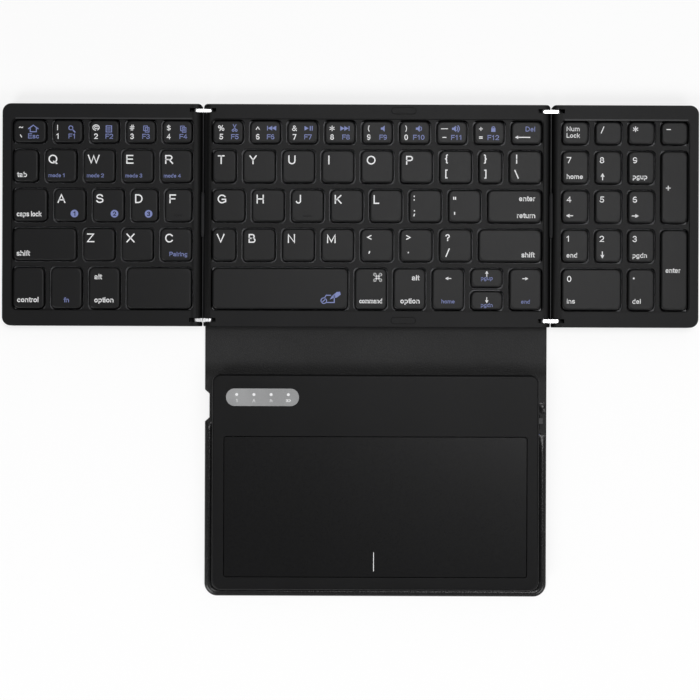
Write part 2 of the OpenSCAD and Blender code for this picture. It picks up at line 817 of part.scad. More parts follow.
module touchpad_bezel() {
    wall_h = pad_z1 - case_split_z;
    slot_y = 0.2;
    slot_z = 0.15;
    color(case_black) difference() {
        union() {
            difference() {
                translate([0, 0, case_split_z]) linear_extrude(wall_h) case_plan(0);
                translate([0, 0, case_split_z - over])
                    linear_extrude(case_roof_z - case_split_z + over) case_plan(pad_wall);
            }
            at_screws() translate([0, 0, case_floor_z])
                cylinder(r = boss_r, h = case_roof_z - case_floor_z + eps);
        }
        // Opening for the touch surface
        translate([touch_x - touch_clear, touch_y - touch_clear, case_roof_z - over])
            rounded_box([touch_w + 2 * touch_clear, touch_d + 2 * touch_clear, pad_skin + 2 * over],
                touch_r + touch_clear);
        // Opening for the window over the lights
        translate([window_x - seat_clear, window_y - seat_clear, case_roof_z - over])
            rounded_box([window_l + 2 * seat_clear, window_w + 2 * seat_clear, pad_skin + 2 * over],
                window_w / 2);
        // Opening for the charging socket
        translate([pad_x - over, port_y, port_z]) rotate([90, 0, 90])
            linear_extrude(pad_wall + 2 * over)
                port_outline(port_w + 2 * seat_clear, port_h + 2 * seat_clear);
        // Slot for the switch knob, which moves towards the front
        translate([pad_x + pad_w - pad_wall - over, knob_y - knob_l / 2 - knob_travel - slot_y,
                knob_z - knob_h / 2 - slot_z])
            cube([pad_wall + 2 * over, knob_l + knob_travel + 2 * slot_y, knob_h + 2 * slot_z]);
        at_screws() translate([0, 0, case_floor_z - over])
            cylinder(r = screw_r + seat_clear, h = screw_len + over);
    }
}

// A flat oval, centred
module port_outline(width, height) {
    translate([-(width - height) / 2, 0]) round_bar(width - height, height / 2);
}

module touch_surface() {
    color(key_black) translate([touch_x, touch_y, touch_z0])
        rounded_box([touch_w, touch_d, touch_t], touch_r);
}

module touchpad_board() {
    switch_body = [4, 7, 2];
    radio = [12, 9, 1.4];
    cell_plug = [6, 4, 2];
    board_end_x = board_x + board_w;
    radio_y = 8;
    plug_y = 1;
    color(board_green) {
        translate([board_x, board_y, board_z]) cube([board_w, board_d, board_t]);
        translate([board_end_x - switch_body[0], knob_y - switch_body[1] / 2 - knob_travel / 2,
                board_top_z - eps])
            cube([switch_body[0], switch_body[1], switch_body[2] + eps]);
        translate([board_x + board_w / 2, board_y + radio_y, board_top_z - eps])
            cube([radio[0], radio[1], radio[2] + eps]);
        translate([board_x + board_w / 3, board_y + plug_y, board_top_z - eps])
            cube([cell_plug[0], cell_plug[1], cell_plug[2] + eps]);
    }
}

module battery() {
    battery_r = 1.5;
    color(steel)
        translate([touch_x + (touch_w - battery_w) / 2, touch_y + (touch_d - battery_d) / 2,
                   case_floor_z])
            rounded_box([battery_w, battery_d, battery_t], battery_r);
}

module indicator_window() {
    color([0.6, 0.6, 0.62, 0.6]) translate([window_x, window_y, pad_z1 - window_t])
        rounded_box([window_l, window_w, window_t], window_w / 2 - eps);
}

// Four lights on the board, each with a clear guide up to the window
module indicator_leds() {
    first_x = window_x + (window_l - 3 * light_pitch) / 2;
    foot = 2.0;
    foot_h = 0.8;
    color("white")
        for (i = [0:3])
            translate([first_x + i * light_pitch, window_y + window_w - light_inset,
                       board_top_z]) {
                translate([-foot / 2, -foot / 2, 0]) cube([foot, foot, foot_h]);
                cylinder(r = light_r, h = pad_z1 - window_t - seat_clear - board_top_z);
            }
}

// The knob, and the plate behind the wall that carries it
module power_switch() {
    wall_x = pad_x + pad_w - pad_wall;
    plate_x = wall_x - seat_clear - knob_plate[0];
    color(rubber_grey) {
        translate([plate_x, knob_y - knob_plate[1] / 2, knob_z - knob_plate[2] / 2]) cube(knob_plate);
        translate([wall_x - seat_clear - eps, knob_y - knob_l / 2, knob_z - knob_h / 2])
            cube([seat_clear + eps + pad_wall + knob_reach, knob_l, knob_h]);
    }
}

// An open shell with a tongue in it. Its mouth is flush with the case.
module charging_port() {
    tongue_clear = 1.3;
    tongue_t = 0.7;
    mouth_clear = 1;
    tongue = [port_w - 2 * tongue_clear, tongue_t, port_d - mouth_clear];
    back_t = 0.8;
    color(steel) translate([pad_x, port_y, port_z]) rotate([90, 0, 90]) {
        difference() {
            linear_extrude(port_d) port_outline(port_w, port_h);
            translate([0, 0, -over]) linear_extrude(port_d - back_t + over)
                port_outline(port_w - 2 * port_wall, port_h - 2 * port_wall);
        }
        translate([-tongue[0] / 2, -tongue[1] / 2, port_d - tongue[2] - eps]) cube(tongue);
    }
}

module click_switch() {
    color(steel) translate([click_x, click_y, click_body_z]) {
        translate([-click_size / 2, -click_size / 2, 0]) cube([click_size, click_size, click_h]);
        translate([0, 0, click_h - eps]) cylinder(r = click_button_r, h = click_button_h + eps);
    }
}

module touchpad_screws() {
    color(steel) at_screws() translate([0, 0, pad_z0]) {
        cylinder(r = screw_head_r, h = screw_head_h);
        cylinder(r = screw_r, h = screw_head_h + screw_len);
    }
}

// ---- Nodes ----

center_frame();
center_base();
center_switch_plate();
center_domes();
controller_board();
center_bumpers();
cover_center();
flex_cables();
left_links();
left_frame();
left_base();
left_switch_plate();
left_domes();
left_feet();
right_links();
right_frame();
right_base();
right_switch_plate();
right_domes();
right_feet();
left_number_keys();
left_tab_caps_keys();
left_upper_letter_keys();
left_home_letter_keys();
left_shift_key();
left_lower_letter_keys();
left_modifier_keys();
left_space_key();
center_number_keys();
center_upper_letter_keys();
center_home_letter_keys();
center_enter_key();
center_lower_letter_keys();
center_shift_key();
center_space_key();
center_modifier_keys();
left_arrow_key();
up_arrow_key();
down_arrow_key();
right_arrow_key();
numpad_top_keys();
numpad_upper_keys();
numpad_middle_keys();
numpad_lower_keys();
numpad_plus_key();
numpad_enter_key();
numpad_zero_dot_keys();
cover_spine();
cover_flap();
touchpad_base();
touchpad_bezel();
touch_surface();
touchpad_board();
battery();
indicator_window();
indicator_leds();
power_switch();
charging_port();
click_switch();
touchpad_screws();
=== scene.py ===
import json
import math

import bmesh
import bpy
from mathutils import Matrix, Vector
from mathutils.geometry import delaunay_2d_cdt

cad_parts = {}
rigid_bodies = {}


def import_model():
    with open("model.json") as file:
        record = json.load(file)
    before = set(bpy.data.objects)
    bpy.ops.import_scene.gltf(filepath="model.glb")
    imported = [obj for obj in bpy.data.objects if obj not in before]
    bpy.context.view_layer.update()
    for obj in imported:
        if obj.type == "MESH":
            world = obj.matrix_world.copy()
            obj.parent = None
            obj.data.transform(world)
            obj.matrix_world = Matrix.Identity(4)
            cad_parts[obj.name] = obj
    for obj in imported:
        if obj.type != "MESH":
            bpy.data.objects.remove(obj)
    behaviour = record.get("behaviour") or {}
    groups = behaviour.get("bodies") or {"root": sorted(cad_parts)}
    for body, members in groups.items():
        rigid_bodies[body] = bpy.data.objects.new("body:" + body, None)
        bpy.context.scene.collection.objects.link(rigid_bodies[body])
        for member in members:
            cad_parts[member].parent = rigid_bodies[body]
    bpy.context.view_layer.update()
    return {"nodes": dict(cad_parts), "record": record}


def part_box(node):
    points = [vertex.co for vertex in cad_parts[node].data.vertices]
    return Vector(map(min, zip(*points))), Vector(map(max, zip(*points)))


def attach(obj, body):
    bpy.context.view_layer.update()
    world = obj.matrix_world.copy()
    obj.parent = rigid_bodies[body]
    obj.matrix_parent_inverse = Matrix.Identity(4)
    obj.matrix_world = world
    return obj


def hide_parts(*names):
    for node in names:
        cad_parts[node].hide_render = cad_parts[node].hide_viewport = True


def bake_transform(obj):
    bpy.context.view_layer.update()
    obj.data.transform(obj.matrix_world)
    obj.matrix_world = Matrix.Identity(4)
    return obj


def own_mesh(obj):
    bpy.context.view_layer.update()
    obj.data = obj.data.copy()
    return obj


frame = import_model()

# The looks of the folding keyboard. Shapes are worked out in millimetres, in the CAD frame,
# and written to the meshes in metres.

MM = 0.001
NODES = frame["nodes"]


def cad_box(node):
    """Lowest and highest corner of a CAD node, in millimetres."""
    low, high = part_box(node)
    return low / MM, high / MM


# ---- Materials ----


def feed(tree, node, inputs):
    """Links each of a node's named inputs to a socket, or gives it a value."""
    for key, value in inputs.items():
        if isinstance(value, bpy.types.NodeSocket):
            tree.links.new(value, node.inputs[key])
        else:
            node.inputs[key].default_value = value


def add_node(tree, kind, inputs=None, **settings):
    """A new node with its settings and its inputs."""
    made = tree.nodes.new(kind)
    for key, value in settings.items():
        setattr(made, key, value)
    feed(tree, made, inputs or {})
    return made


class Shader:
    """A Principled material and the few node chains that the finishes here are made of."""

    def __init__(self, name, colour, roughness, metallic=0.0, specular=0.5, sockets=None):
        self.material = bpy.data.materials.new(name)
        self.material.use_nodes = True
        self.tree = self.material.node_tree
        self.bsdf = self.tree.nodes["Principled BSDF"]
        self.colour = (*colour, 1.0)
        feed(self.tree, self.bsdf, {"Base Color": self.colour, "Roughness": roughness,
                                    "Metallic": metallic, "Specular IOR Level": specular,
                                    **(sockets or {})})
        self.normal = None
        self.coordinates = self.node("ShaderNodeTexCoord").outputs["Object"]

    def node(self, kind, inputs=None, **settings):
        return add_node(self.tree, kind, inputs, **settings)

    def set(self, socket, value):
        feed(self.tree, self.bsdf, {socket: value})

    def noise(self, size_mm, detail=2.0, roughness=0.5, stretch=(1, 1, 1), shift=0.0):
        """Noise whose grains are about size_mm across, times stretch."""
        scale = [1 / (size_mm * MM * s) for s in stretch]
        placed = self.node("ShaderNodeMapping", {
            "Vector": self.coordinates, "Scale": scale, "Location": (shift, shift, shift)})
        return self.node("ShaderNodeTexNoise", {
            "Vector": placed.outputs["Vector"], "Scale": 1.0, "Detail": detail,
            "Roughness": roughness}).outputs["Fac"]

    def cells(self, size_mm, feature="DISTANCE_TO_EDGE"):
        placed = self.node("ShaderNodeMapping", {
            "Vector": self.coordinates, "Scale": [1 / (size_mm * MM)] * 3})
        wobble = self.node("ShaderNodeTexNoise", {
            "Vector": placed.outputs["Vector"], "Scale": 1.6, "Detail": 2.0})
        moved = self.node("ShaderNodeMixRGB", {
            "Fac": 0.25, "Color1": placed.outputs["Vector"], "Color2": wobble.outputs["Color"]})
        return self.node("ShaderNodeTexVoronoi", {
            "Vector": moved.outputs["Color"], "Scale": 1.0}, feature=feature).outputs["Distance"]

    def spread(self, value, low, high, out_low=0.0, out_high=1.0):
        """value from low..high, mapped to out_low..out_high and held there."""
        return self.node("ShaderNodeMapRange", {
            "Value": value, "From Min": low, "From Max": high,
            "To Min": out_low, "To Max": out_high}).outputs["Result"]

    def mix(self, factor, first, second):
        return self.node("ShaderNodeMixRGB", {
            "Fac": factor, "Color1": first, "Color2": second}).outputs["Color"]

    def tint(self, factor):
        """The base colour times factor."""
        return (*(c * factor for c in self.colour[:3]), 1.0)

    def vary(self, value, low, high, first, second):
        """The base colour times first where value is low, and times second where it is high."""
        return self.mix(self.spread(value, low, high), self.tint(first), self.tint(second))

    def rough(self, value, low, high, least, most):
        self.set("Roughness", self.spread(value, low, high, least, most))

    def bump(self, height, depth_mm, strength=1.0):
        inputs = {"Height": height, "Distance": depth_mm * MM, "Strength": strength}
        if self.normal:
            inputs["Normal"] = self.normal
        self.normal = self.node("ShaderNodeBump", inputs).outputs["Normal"]
        self.set("Normal", self.normal)

    def darken(self, factor, dark):
        """Takes the colour towards dark times the base colour, by factor."""
        current = self.bsdf.inputs["Base Color"].links[0].from_socket
        self.set("Base Color", self.mix(factor, current, self.tint(dark)))

    def paint_shade_bands(self, axis, bands, soft_mm, dark):
        """Painted shade: darker between the two places of each band along an axis, in millimetres.
        """
        place_on = self.node("ShaderNodeSeparateXYZ", {"Vector": self.coordinates}).outputs[axis]
        for low, high in bands:
            off = self.node("ShaderNodeMath", {0: place_on, 1: (low + high) / 2 * MM},
                            operation="SUBTRACT").outputs[0]
            away = self.node("ShaderNodeMath", {0: off}, operation="ABSOLUTE").outputs[0]
            half, soft = (high - low) / 2 * MM, soft_mm * MM
            self.darken(self.spread(away, half - soft, half + soft, 1.0, 0.0), dark)

    def paint_shade_on_sides(self, dark):
        """Painted shade: darker where the surface turns down from its flat top, as if in shade."""
        normal = self.node("ShaderNodeTexCoord").outputs["Normal"]
        up = self.node("ShaderNodeSeparateXYZ", {"Vector": normal}).outputs["Z"]
        self.darken(self.spread(up, 0.45, 0.97, 1.0, 0.0), dark)


def moulded(name, colour, roughness, grain_mm, depth_mm, specular=0.3, cloud=0.18, **sockets):
    """Moulded plastic with a fine spark-eroded texture and a faint cloudiness."""
    made = Shader(name, colour, roughness, specular=specular, sockets=sockets)
    clouds = made.noise(34.0, detail=3.0)
    grain = made.noise(grain_mm, detail=2.0, roughness=0.6)
    speck = made.noise(grain_mm * 2.6, detail=1.0, shift=7.3)
    shade = made.vary(clouds, 0.35, 0.65, 1 - cloud, 1 + cloud)
    shade = made.mix(made.spread(grain, 0.35, 0.7, 0.0, 0.35), shade, made.tint(1.7))
    made.set("Base Color", shade)
    mixed = made.node("ShaderNodeMath", {0: grain, 1: speck}, operation="MULTIPLY").outputs[0]
    made.rough(mixed, 0.12, 0.42, roughness - 0.07, roughness + 0.07)
    made.bump(mixed, depth_mm)
    return made


def leather(name, colour, roughness, specular, depth):
    """Black leathercloth: small pebbled cells, broken by finer grain and a few soft creases."""
    made = Shader(name, colour, roughness, specular=specular,
                  sockets={"Sheen Weight": 0.05, "Sheen Roughness": 0.5})
    cells = made.spread(made.cells(0.85), 0.0, 0.16)
    fine = made.noise(0.22, detail=3.0)
    soft = made.noise(9.0, detail=3.0, stretch=(2.6, 0.8, 1.0))
    clouds = made.noise(42.0, detail=2.0, shift=3.1)
    shade = made.vary(clouds, 0.35, 0.65, 0.86, 1.14)
    shade = made.mix(made.spread(cells, 0.0, 1.0, 0.42, 0.0), shade, made.tint(0.45))
    made.set("Base Color", shade)
    made.rough(fine, 0.3, 0.7, roughness - 0.07, roughness + 0.07)
    made.bump(soft, 0.22 * depth, 0.35)
    made.bump(cells, 0.05 * depth, 0.8)
    made.bump(fine, 0.02 * depth, 0.6)
    return made


def satin_metal(name, colour, roughness, along=(1, 30, 1)):
    """Plated metal with fine brushing."""
    made = Shader(name, colour, roughness, metallic=1.0)
    lines = made.noise(0.09, detail=3.0, stretch=along)
    clouds = made.noise(3.0, detail=2.0)
    made.set("Base Color", made.vary(clouds, 0.3, 0.7, 0.9, 1.05))
    made.rough(lines, 0.3, 0.7, roughness - 0.08, roughness + 0.1)
    made.bump(lines, 0.006)
    return made


def speckled(name, colour, roughness, specular, grain, light, tints, swing, depth_mm):
    """Paint or rubber: one fine noise (size, detail) moves its colour, roughness and relief."""
    made = Shader(name, colour, roughness, specular=specular)
    speck = made.noise(*grain)
    made.set("Base Color", made.vary(speck, 0.35, light, *tints))
    made.rough(speck, 0.3, 0.7, roughness - swing, roughness + 0.08)
    made.bump(speck, depth_mm)
    return made


def paint(name, colour):
    """Printed ink, with the slight unevenness of a pad print."""
    return speckled(name, colour, 0.5, 0.4, (0.5, 2.0), 0.7, (0.92, 1.0), 0.08, 0.004)


def rubber(name, colour, roughness=0.7):
    return speckled(name, colour, roughness, 0.25, (0.3, 3.0), 0.65, (0.85, 1.2), 0.06, 0.02)


def smoked_window(name):
    made = Shader(name, (0.275, 0.277, 0.28), 0.3, specular=0.45,
                  sockets={"Coat Weight": 0.35, "Coat Roughness": 0.08})
    speck = made.noise(0.35, detail=2.0)
    glow = made.noise(11.0, detail=1.0)
    shade = made.vary(glow, 0.35, 0.65, 0.92, 1.08)
    shade = made.mix(made.spread(speck, 0.45, 0.75, 0.0, 0.3), shade, made.tint(1.35))
    made.set("Base Color", shade)
    made.rough(speck, 0.3, 0.7, 0.24, 0.36)
    made.bump(speck, 0.004)
    return made


def circuit(name):
    made = Shader(name, (0.012, 0.075, 0.035), 0.35, specular=0.5)
    tracks = made.cells(2.4)
    made.set("Base Color", made.vary(tracks, 0.02, 0.05, 2.2, 1.0))
    made.bump(tracks, 0.03)
    return made


CASE = moulded("case", (0.0053, 0.0053, 0.0057), 0.5, 0.16, 0.018, specular=0.15)
KEY = moulded("key", (0.0040, 0.0040, 0.0044), 0.44, 0.13, 0.012, specular=0.205)
# Painted shade on the caps' skirts, for the shade they sit in
KEY.paint_shade_on_sides(0.12)
UNIT = moulded("unit", (0.0036, 0.0036, 0.0039), 0.45, 0.15, 0.014, specular=0.14)
GLIDE = moulded("glide", (0.0031, 0.0031, 0.0034), 0.32, 0.1, 0.006, specular=0.2, cloud=0.08)
LEATHER = leather("leather", (0.0152, 0.0152, 0.0157), 0.5, 0.18, 1.0)
# Painted shadow on the cover: beside the touchpad unit, where the unit shades its fold, and under
# the centre panel's front
PAD_FOLD_Y = cad_box("cover_flap")[1].y
LEATHER.paint_shade_bands("Y", [(PAD_FOLD_Y - 2.0, PAD_FOLD_Y + 3.4)], 2.4, 0.25)
LEATHER.paint_shade_bands("Y", [(8.0, 20.0)], 3.0, 0.75)
# Plastic for the hinge bars, also used for a painted highlight line on the side frames
PLASTIC_AND_HIGHLIGHT = moulded("polished_edge", (0.02, 0.02, 0.021), 0.4, 0.16, 0.01, specular=0.2)
LINK = satin_metal("link_metal", (0.82, 0.82, 0.83), 0.3)
STEEL = satin_metal("sheet_steel", (0.6, 0.6, 0.62), 0.34, along=(24, 1, 1))
FOIL = satin_metal("foil", (0.55, 0.55, 0.57), 0.42)
WHITE = paint("white_ink", (0.8, 0.8, 0.81))
BLUE = paint("blue_ink", (0.185, 0.22, 0.46))
RUBBER = rubber("rubber", (0.018, 0.018, 0.019))
SILICONE = rubber("silicone", (0.42, 0.42, 0.44), 0.5)
SLEEVE = rubber("sleeve", (0.008, 0.008, 0.009), 0.5)
EDGE = leather("pressed_edge", (0.0088, 0.0088, 0.0091), 0.26, 0.36, 0.35)
# Dark ink for the digits on the blue discs, and painted shade for the pads' grooves, the switch
# recess and the reset slot
PRINT_AND_SHADE = rubber("dark_groove", (0.0018, 0.0018, 0.002), 0.85)
WINDOW = smoked_window("window")
BOARD = circuit("board")
KNOB = moulded("knob", (0.03, 0.03, 0.031), 0.45, 0.2, 0.01)


# ---- Building meshes ----


def outline(x0, y0, x1, y1, radii, steps=6):
    """Points round a rectangle, counterclockwise from its near left corner."""
    r = radii if hasattr(radii, "__len__") else (radii,) * 4
    corners = ((x0 + r[0], y0 + r[0], 180), (x1 - r[1], y0 + r[1], 270),
               (x1 - r[2], y1 - r[2], 0), (x0 + r[3], y1 - r[3], 90))
    points = []
    for (cx, cy, start), radius in zip(corners, r):
        for i in range(steps + 1):
            a = math.radians(start + 90 * i / steps)
            points.append((cx + radius * math.cos(a), cy + radius * math.sin(a)))
    return points


def set_in(low, high, inset, radius, steps=6):
    """The outline of the box from low to high, drawn inset within it."""
    return outline(low[0] + inset, low[1] + inset, high[0] - inset, high[1] - inset, radius, steps)


def ring(bm, points, z):
    return [bm.verts.new((x, y, z)) for x, y in points]


def bridge(bm, lower, upper):
    count = len(lower)
    for i in range(count):
        j = (i + 1) % count
        bm.faces.new((lower[i], lower[j], upper[j], upper[i]))


def stack(bm, rings):
    for lower, upper in zip(rings, rings[1:]):
        bridge(bm, lower, upper)


def solid(bm, rings):
    """A stack of rings, closed below the first and above the last."""
    stack(bm, rings)
    bm.faces.new(rings[-1])
    bm.faces.new(list(reversed(rings[0])))


def circle(x, y, radius, count):
    return [(x + radius * math.cos(2 * math.pi * i / count),
             y + radius * math.sin(2 * math.pi * i / count)) for i in range(count)]


def inside(x, y, polygon):
    hit = False
    for (ax, ay), (bx, by) in zip(polygon, polygon[1:] + polygon[:1]):
        if (ay > y) != (by > y) and x < (bx - ax) * (y - ay) / (by - ay) + ax:
            hit = not hit
    return hit


def fill(bm, outer, holes=()):
    """Flat triangles between a ring of vertices and the rings inside it."""
    rings = [outer, *holes]
    flat = [v for r in rings for v in r]
    edges = []
    start = 0
    for r in rings:
        edges += [(start + i, start + (i + 1) % len(r)) for i in range(len(r))]
        start += len(r)
    shapes = [[(v.co.x, v.co.y) for v in r] for r in rings]
    points = [Vector((v.co.x, v.co.y)) for v in flat]
    made, _, triangles, origin, _, _ = delaunay_2d_cdt(points, edges, [], 0, 1e-5)
    for triangle in triangles:
        cx = sum(made[i].x for i in triangle) / 3
        cy = sum(made[i].y for i in triangle) / 3
        if inside(cx, cy, shapes[0]) and not any(inside(cx, cy, s) for s in shapes[1:]):
            bm.faces.new([flat[origin[i][0]] for i in triangle])


def finish_mesh(bm, name, materials, angle=35, smooth=True):
    """Writes bm, in millimetres, to a new object in metres."""
    bmesh.ops.recalc_face_normals(bm, faces=bm.faces)
    bmesh.ops.scale(bm, vec=(MM, MM, MM), verts=bm.verts)
    mesh = bpy.data.meshes.new(name)
    bm.to_mesh(mesh)
    bm.free()
    for shader in materials:
        mesh.materials.append(shader.material)
    if smooth:
        mesh.shade_smooth()
        mesh.set_sharp_from_angle(angle=math.radians(angle))
    made = bpy.data.objects.new(name, mesh)
    bpy.context.scene.collection.objects.link(made)
    return made


def place(piece, body, slot=None, replaced=()):
    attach(piece, body)
    if replaced:
        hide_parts(*replaced)
    return piece


# ---- Key caps ----

CAP_SHOULDER_W = 0.95
CAP_SHOULDER_H = 1.0
CAP_DRAFT = 0.12
CAP_RADIUS = 2.5
CAP_WALL = 0.9
CAP_ROOF = 1.0
SHOULDER_STEPS = 5


def islands(node):
    """The boxes of a node's separate solids, in millimetres, back row first, then left to right."""
    bm = bmesh.new()
    bm.from_mesh(NODES[node].data)
    bmesh.ops.remove_doubles(bm, verts=bm.verts, dist=1e-6)
    seen = set()
    boxes = []
    for first in bm.verts:
        if first in seen:
            continue
        group = [first]
        seen.add(first)
        for vertex in group:
            for edge in vertex.link_edges:
                other = edge.other_vert(vertex)
                if other not in seen:
                    seen.add(other)
                    group.append(other)
        low = [min(v.co[i] for v in group) / MM for i in range(3)]
        high = [max(v.co[i] for v in group) / MM for i in range(3)]
        boxes.append((low, high))
    bm.free()
    return sorted(boxes, key=lambda b: (-round(b[1][1]), b[0][0]))


def add_cap(bm, low, high):
    """One key cap: slightly drafted skirt, rounded shoulder, flat top, hollow below."""
    def loop(inset, radius, z):
        return ring(bm, set_in(low, high, inset, radius), z)

    z0, z1 = low[2], high[2]
    rings = [loop(0.0, CAP_RADIUS, z0)]
    for i in range(SHOULDER_STEPS + 1):
        a = math.radians(90 * i / SHOULDER_STEPS)
        inset = CAP_DRAFT + CAP_SHOULDER_W * (1 - math.cos(a))
        z = z1 - CAP_SHOULDER_H * (1 - math.sin(a))
        rings.append(loop(inset, CAP_RADIUS - 0.3 * inset, z))
    rings.append(loop(inset + 0.08, CAP_RADIUS - 0.3 * inset, z1))
    stack(bm, rings)
    bm.faces.new(rings[-1])
    inner_low = loop(CAP_WALL, CAP_RADIUS - CAP_WALL, z0)
    inner_high = loop(CAP_WALL, CAP_RADIUS - CAP_WALL, z1 - CAP_ROOF)
    bridge(bm, inner_high, inner_low)
    bm.faces.new(list(reversed(inner_high)))
    bridge(bm, inner_low, rings[0])


def add_homing_bar(bm, low, high):
    """The small raised bar that marks the F and J keys."""
    x, y = (low[0] + high[0]) / 2, low[1] + BAR_RISE
    near, far = (x - BAR_HALF, y - BAR_HALF_W), (x + BAR_HALF, y + BAR_HALF_W)
    solid(bm, [ring(bm, set_in(near, far, inset, BAR_HALF_W - inset - 0.01), high[2] + z)
               for inset, z in ((0.0, -INK), (0.0, 0.1), (0.12, 0.2))])


# How far ink stands out, and how deep it sinks in
INK, INK_SINK = 0.02, 0.005
BAR_RISE, BAR_HALF, BAR_HALF_W = 3.0, 2.0, 0.3
# The keys with a homing bar, by their place in the row
HOMING = {"left_home_letter_keys": 3, "center_home_letter_keys": 2}
KEY_NODES = [n for n in NODES if n.endswith(("_keys", "_key"))]
KEY_BOXES = {n: islands(n) for n in KEY_NODES}
for node in KEY_NODES:
    bm = bmesh.new()
    for low, high in KEY_BOXES[node]:
        add_cap(bm, low, high)
    if node in HOMING:
        add_homing_bar(bm, *KEY_BOXES[node][HOMING[node]])
    place(finish_mesh(bm, node.replace("_key", "_cap"), [KEY]), node, "key", [node])


# ---- Printing on the keys ----

# The slots of a print: white ink, blue ink, and dark ink that also serves for painted shade
WHITE_INK, BLUE_INK, DARK_INK_AND_SHADE = 0, 1, 2

# Plain sans letters as strokes. Capitals are 100 high. A stroke is a row of points x,y and of
# arcs @middle x,middle y,radius x,radius y,first angle,last angle. A bar parts two strokes.
# The number before the colon is the letter's width.
STROKES = """
A 93:9,6 46,93 84,6|20,34 73,34
B 93:16,51 55,51 @57,29,24,22,90,-90 16,7 16,93 50,93 @50,72,22,21,90,-90
C 101:@52,50,41,43,38,322
D 101:16,7 16,93 46,93 @46,50,41,43,90,-90 16,7
E 93:84,7 16,7 16,93 82,93|16,52 78,52
F 85:16,7 16,93 78,93|16,50 70,50
G 109:@54,50,43,43,38,305 95,20 95,46 57,46
H 101:17,7 17,93|85,7 85,93|17,52 85,52
I 39:19,7 19,93
J 70:54,93 54,30 @31,30,23,23,0,-165
K 90:17,7 17,93|79,93 19,38|38,55 82,7
L 74:16,93 16,7 66,7
M 116:16,7 16,93 58,14 100,93 100,7
N 101:17,7 17,93 85,7 85,93
O 109:@54,50,43,43,0,360
P 93:16,7 16,93 56,93 @56,70,24,23,90,-90 16,47
Q 109:@54,50,43,43,0,360|64,24 98,2
R 101:16,7 16,93 60,93 @60,71,25,22,90,-90 16,49|54,49 92,7
S 93:@46,72,31,21,15,255 @47,29,35,22,75,-165
T 78:39,7 39,93|8,93 70,93
U 101:17,93 17,38 @51,38,34,31,180,360 85,93
V 88:7,93 44,8 81,93
W 132:6,93 37,8 66,90 95,8 126,93
X 93:8,93 86,7|8,7 86,93
Y 85:8,93 42,47 77,93|42,47 42,7
Z 85:9,93 76,93 8,7 79,7
0 78:@39,50,29,43,0,360
1 78:20,74 45,92 45,7
2 78:@40,66,30,27,165,-35 10,7 71,7
3 78:@38,71,25,22,160,-90 @38,28,29,22,90,-160
4 78:56,7 56,93 9,32 73,32
5 78:68,93 22,93 16,50 @38,33,31,26,130,-160
6 78:@42,50,32,43,55,180 10,32|@39,31,29,24,0,360
7 78:9,93 70,93 30,7
8 78:@39,72,24,21,0,360|@39,29,29,22,0,360
9 78:@38,68,28,25,0,360|67,68 @36,50,31,43,0,-125
a 78:@37,47,24,19,155,0 61,7|61,38 34,36 @33,21,20,14,100,270 50,9 61,20
b 78:15,7 15,93|@39,36,25,29,0,360
c 70:@37,36,25,29,40,320
d 78:63,7 63,93|@39,36,25,29,0,360
e 78:13,37 65,37 @39,36,26,29,0,315
f 39:22,7 22,80 @36,80,14,14,180,95|6,65 40,65
g 78:63,65 63,0 @38,0,25,20,0,-150|@39,36,25,29,0,360
h 78:15,7 15,93|15,40 @38,42,24,23,165,0 62,7
i 31:15,7 15,65|15,88 15,92
k 70:15,7 15,93|60,65 17,26|32,40 64,7
l 31:15,7 15,93
m 116:15,7 15,65|15,42 @36,44,21,21,165,0 57,7|57,42 @79,44,21,21,165,0 100,7
n 78:15,7 15,65|15,40 @38,42,24,23,165,0 62,7
o 78:@39,36,26,29,0,360
p 78:15,-20 15,65|@39,36,25,29,0,360
r 46:15,7 15,65|15,40 @38,43,23,22,170,90
s 70:@35,52,21,14,20,250 @35,21,23,14,75,-160
t 39:20,85 20,20 @34,20,14,13,180,270|5,65 38,65
u 78:15,65 15,30 @39,30,24,23,180,350|63,65 63,7
~ 82:8,42 18,54 30,54 50,42 62,42 72,54
` 47:10,72 34,34
! 39:19,34 19,93|19,8 19,12
@ 142:@70,45,58,50,-60,260|@68,47,24,24,0,360|94,68 90,30 106,28
# 78:24,0 36,93|50,0 62,93|8,62 76,62|4,32 72,32
$ 78:@39,68,26,18,20,250 @39,28,28,19,75,-160|39,0 39,98
% 124:@28,70,18,22,0,360|@94,26,18,22,0,360|86,96 36,2
^ 74:8,46 37,92 66,46
& 93:86,7 30,68 @46,77,17,15,205,-50 22,44 @38,26,26,19,150,300 80,46
* 92:46,12 46,98|8,34 84,76|8,76 84,34
( 46:@52,38,36,60,125,235
) 46:@-6,38,36,60,55,-55
_ 130:8,38 122,38
- 80:8,38 72,38
+ 82:41,10 41,66|13,38 69,38
= 82:12,52 70,52|12,26 70,26
{ 47:38,98 26,92 26,50 12,38 26,26 26,-16 38,-22
} 47:10,98 22,92 22,50 36,38 22,26 22,-16 10,-22
[ 47:36,96 18,96 18,-20 36,-20
] 47:10,96 28,96 28,-20 10,-20
| 39:19,98 19,52|19,26 19,-20
\\ 60:4,98 52,-14
: 39:19,62 19,66|19,9 19,13
; 39:19,62 19,66|19,13 19,9 12,-10
" 50:12,93 12,66|38,93 38,66
' 27:13,93 13,66
< 74:62,64 12,38 62,12
> 74:12,64 62,38 12,12
, 39:19,12 19,6 12,-12
. 39:19,7 19,13
? 78:@39,70,25,23,165,-30 39,42 39,32|39,8 39,12
/ 60:4,-10 50,100
"""
ARC_STEP = 20
WORD_SPACE = 36
STROKE_WIDTH = 14
LETTERS = {}
for row in STROKES.split("\n"):
    if row:
        advance, paths = row[1:].split(":", 1)
        LETTERS[row[0]] = (float(advance), paths.split("|"))


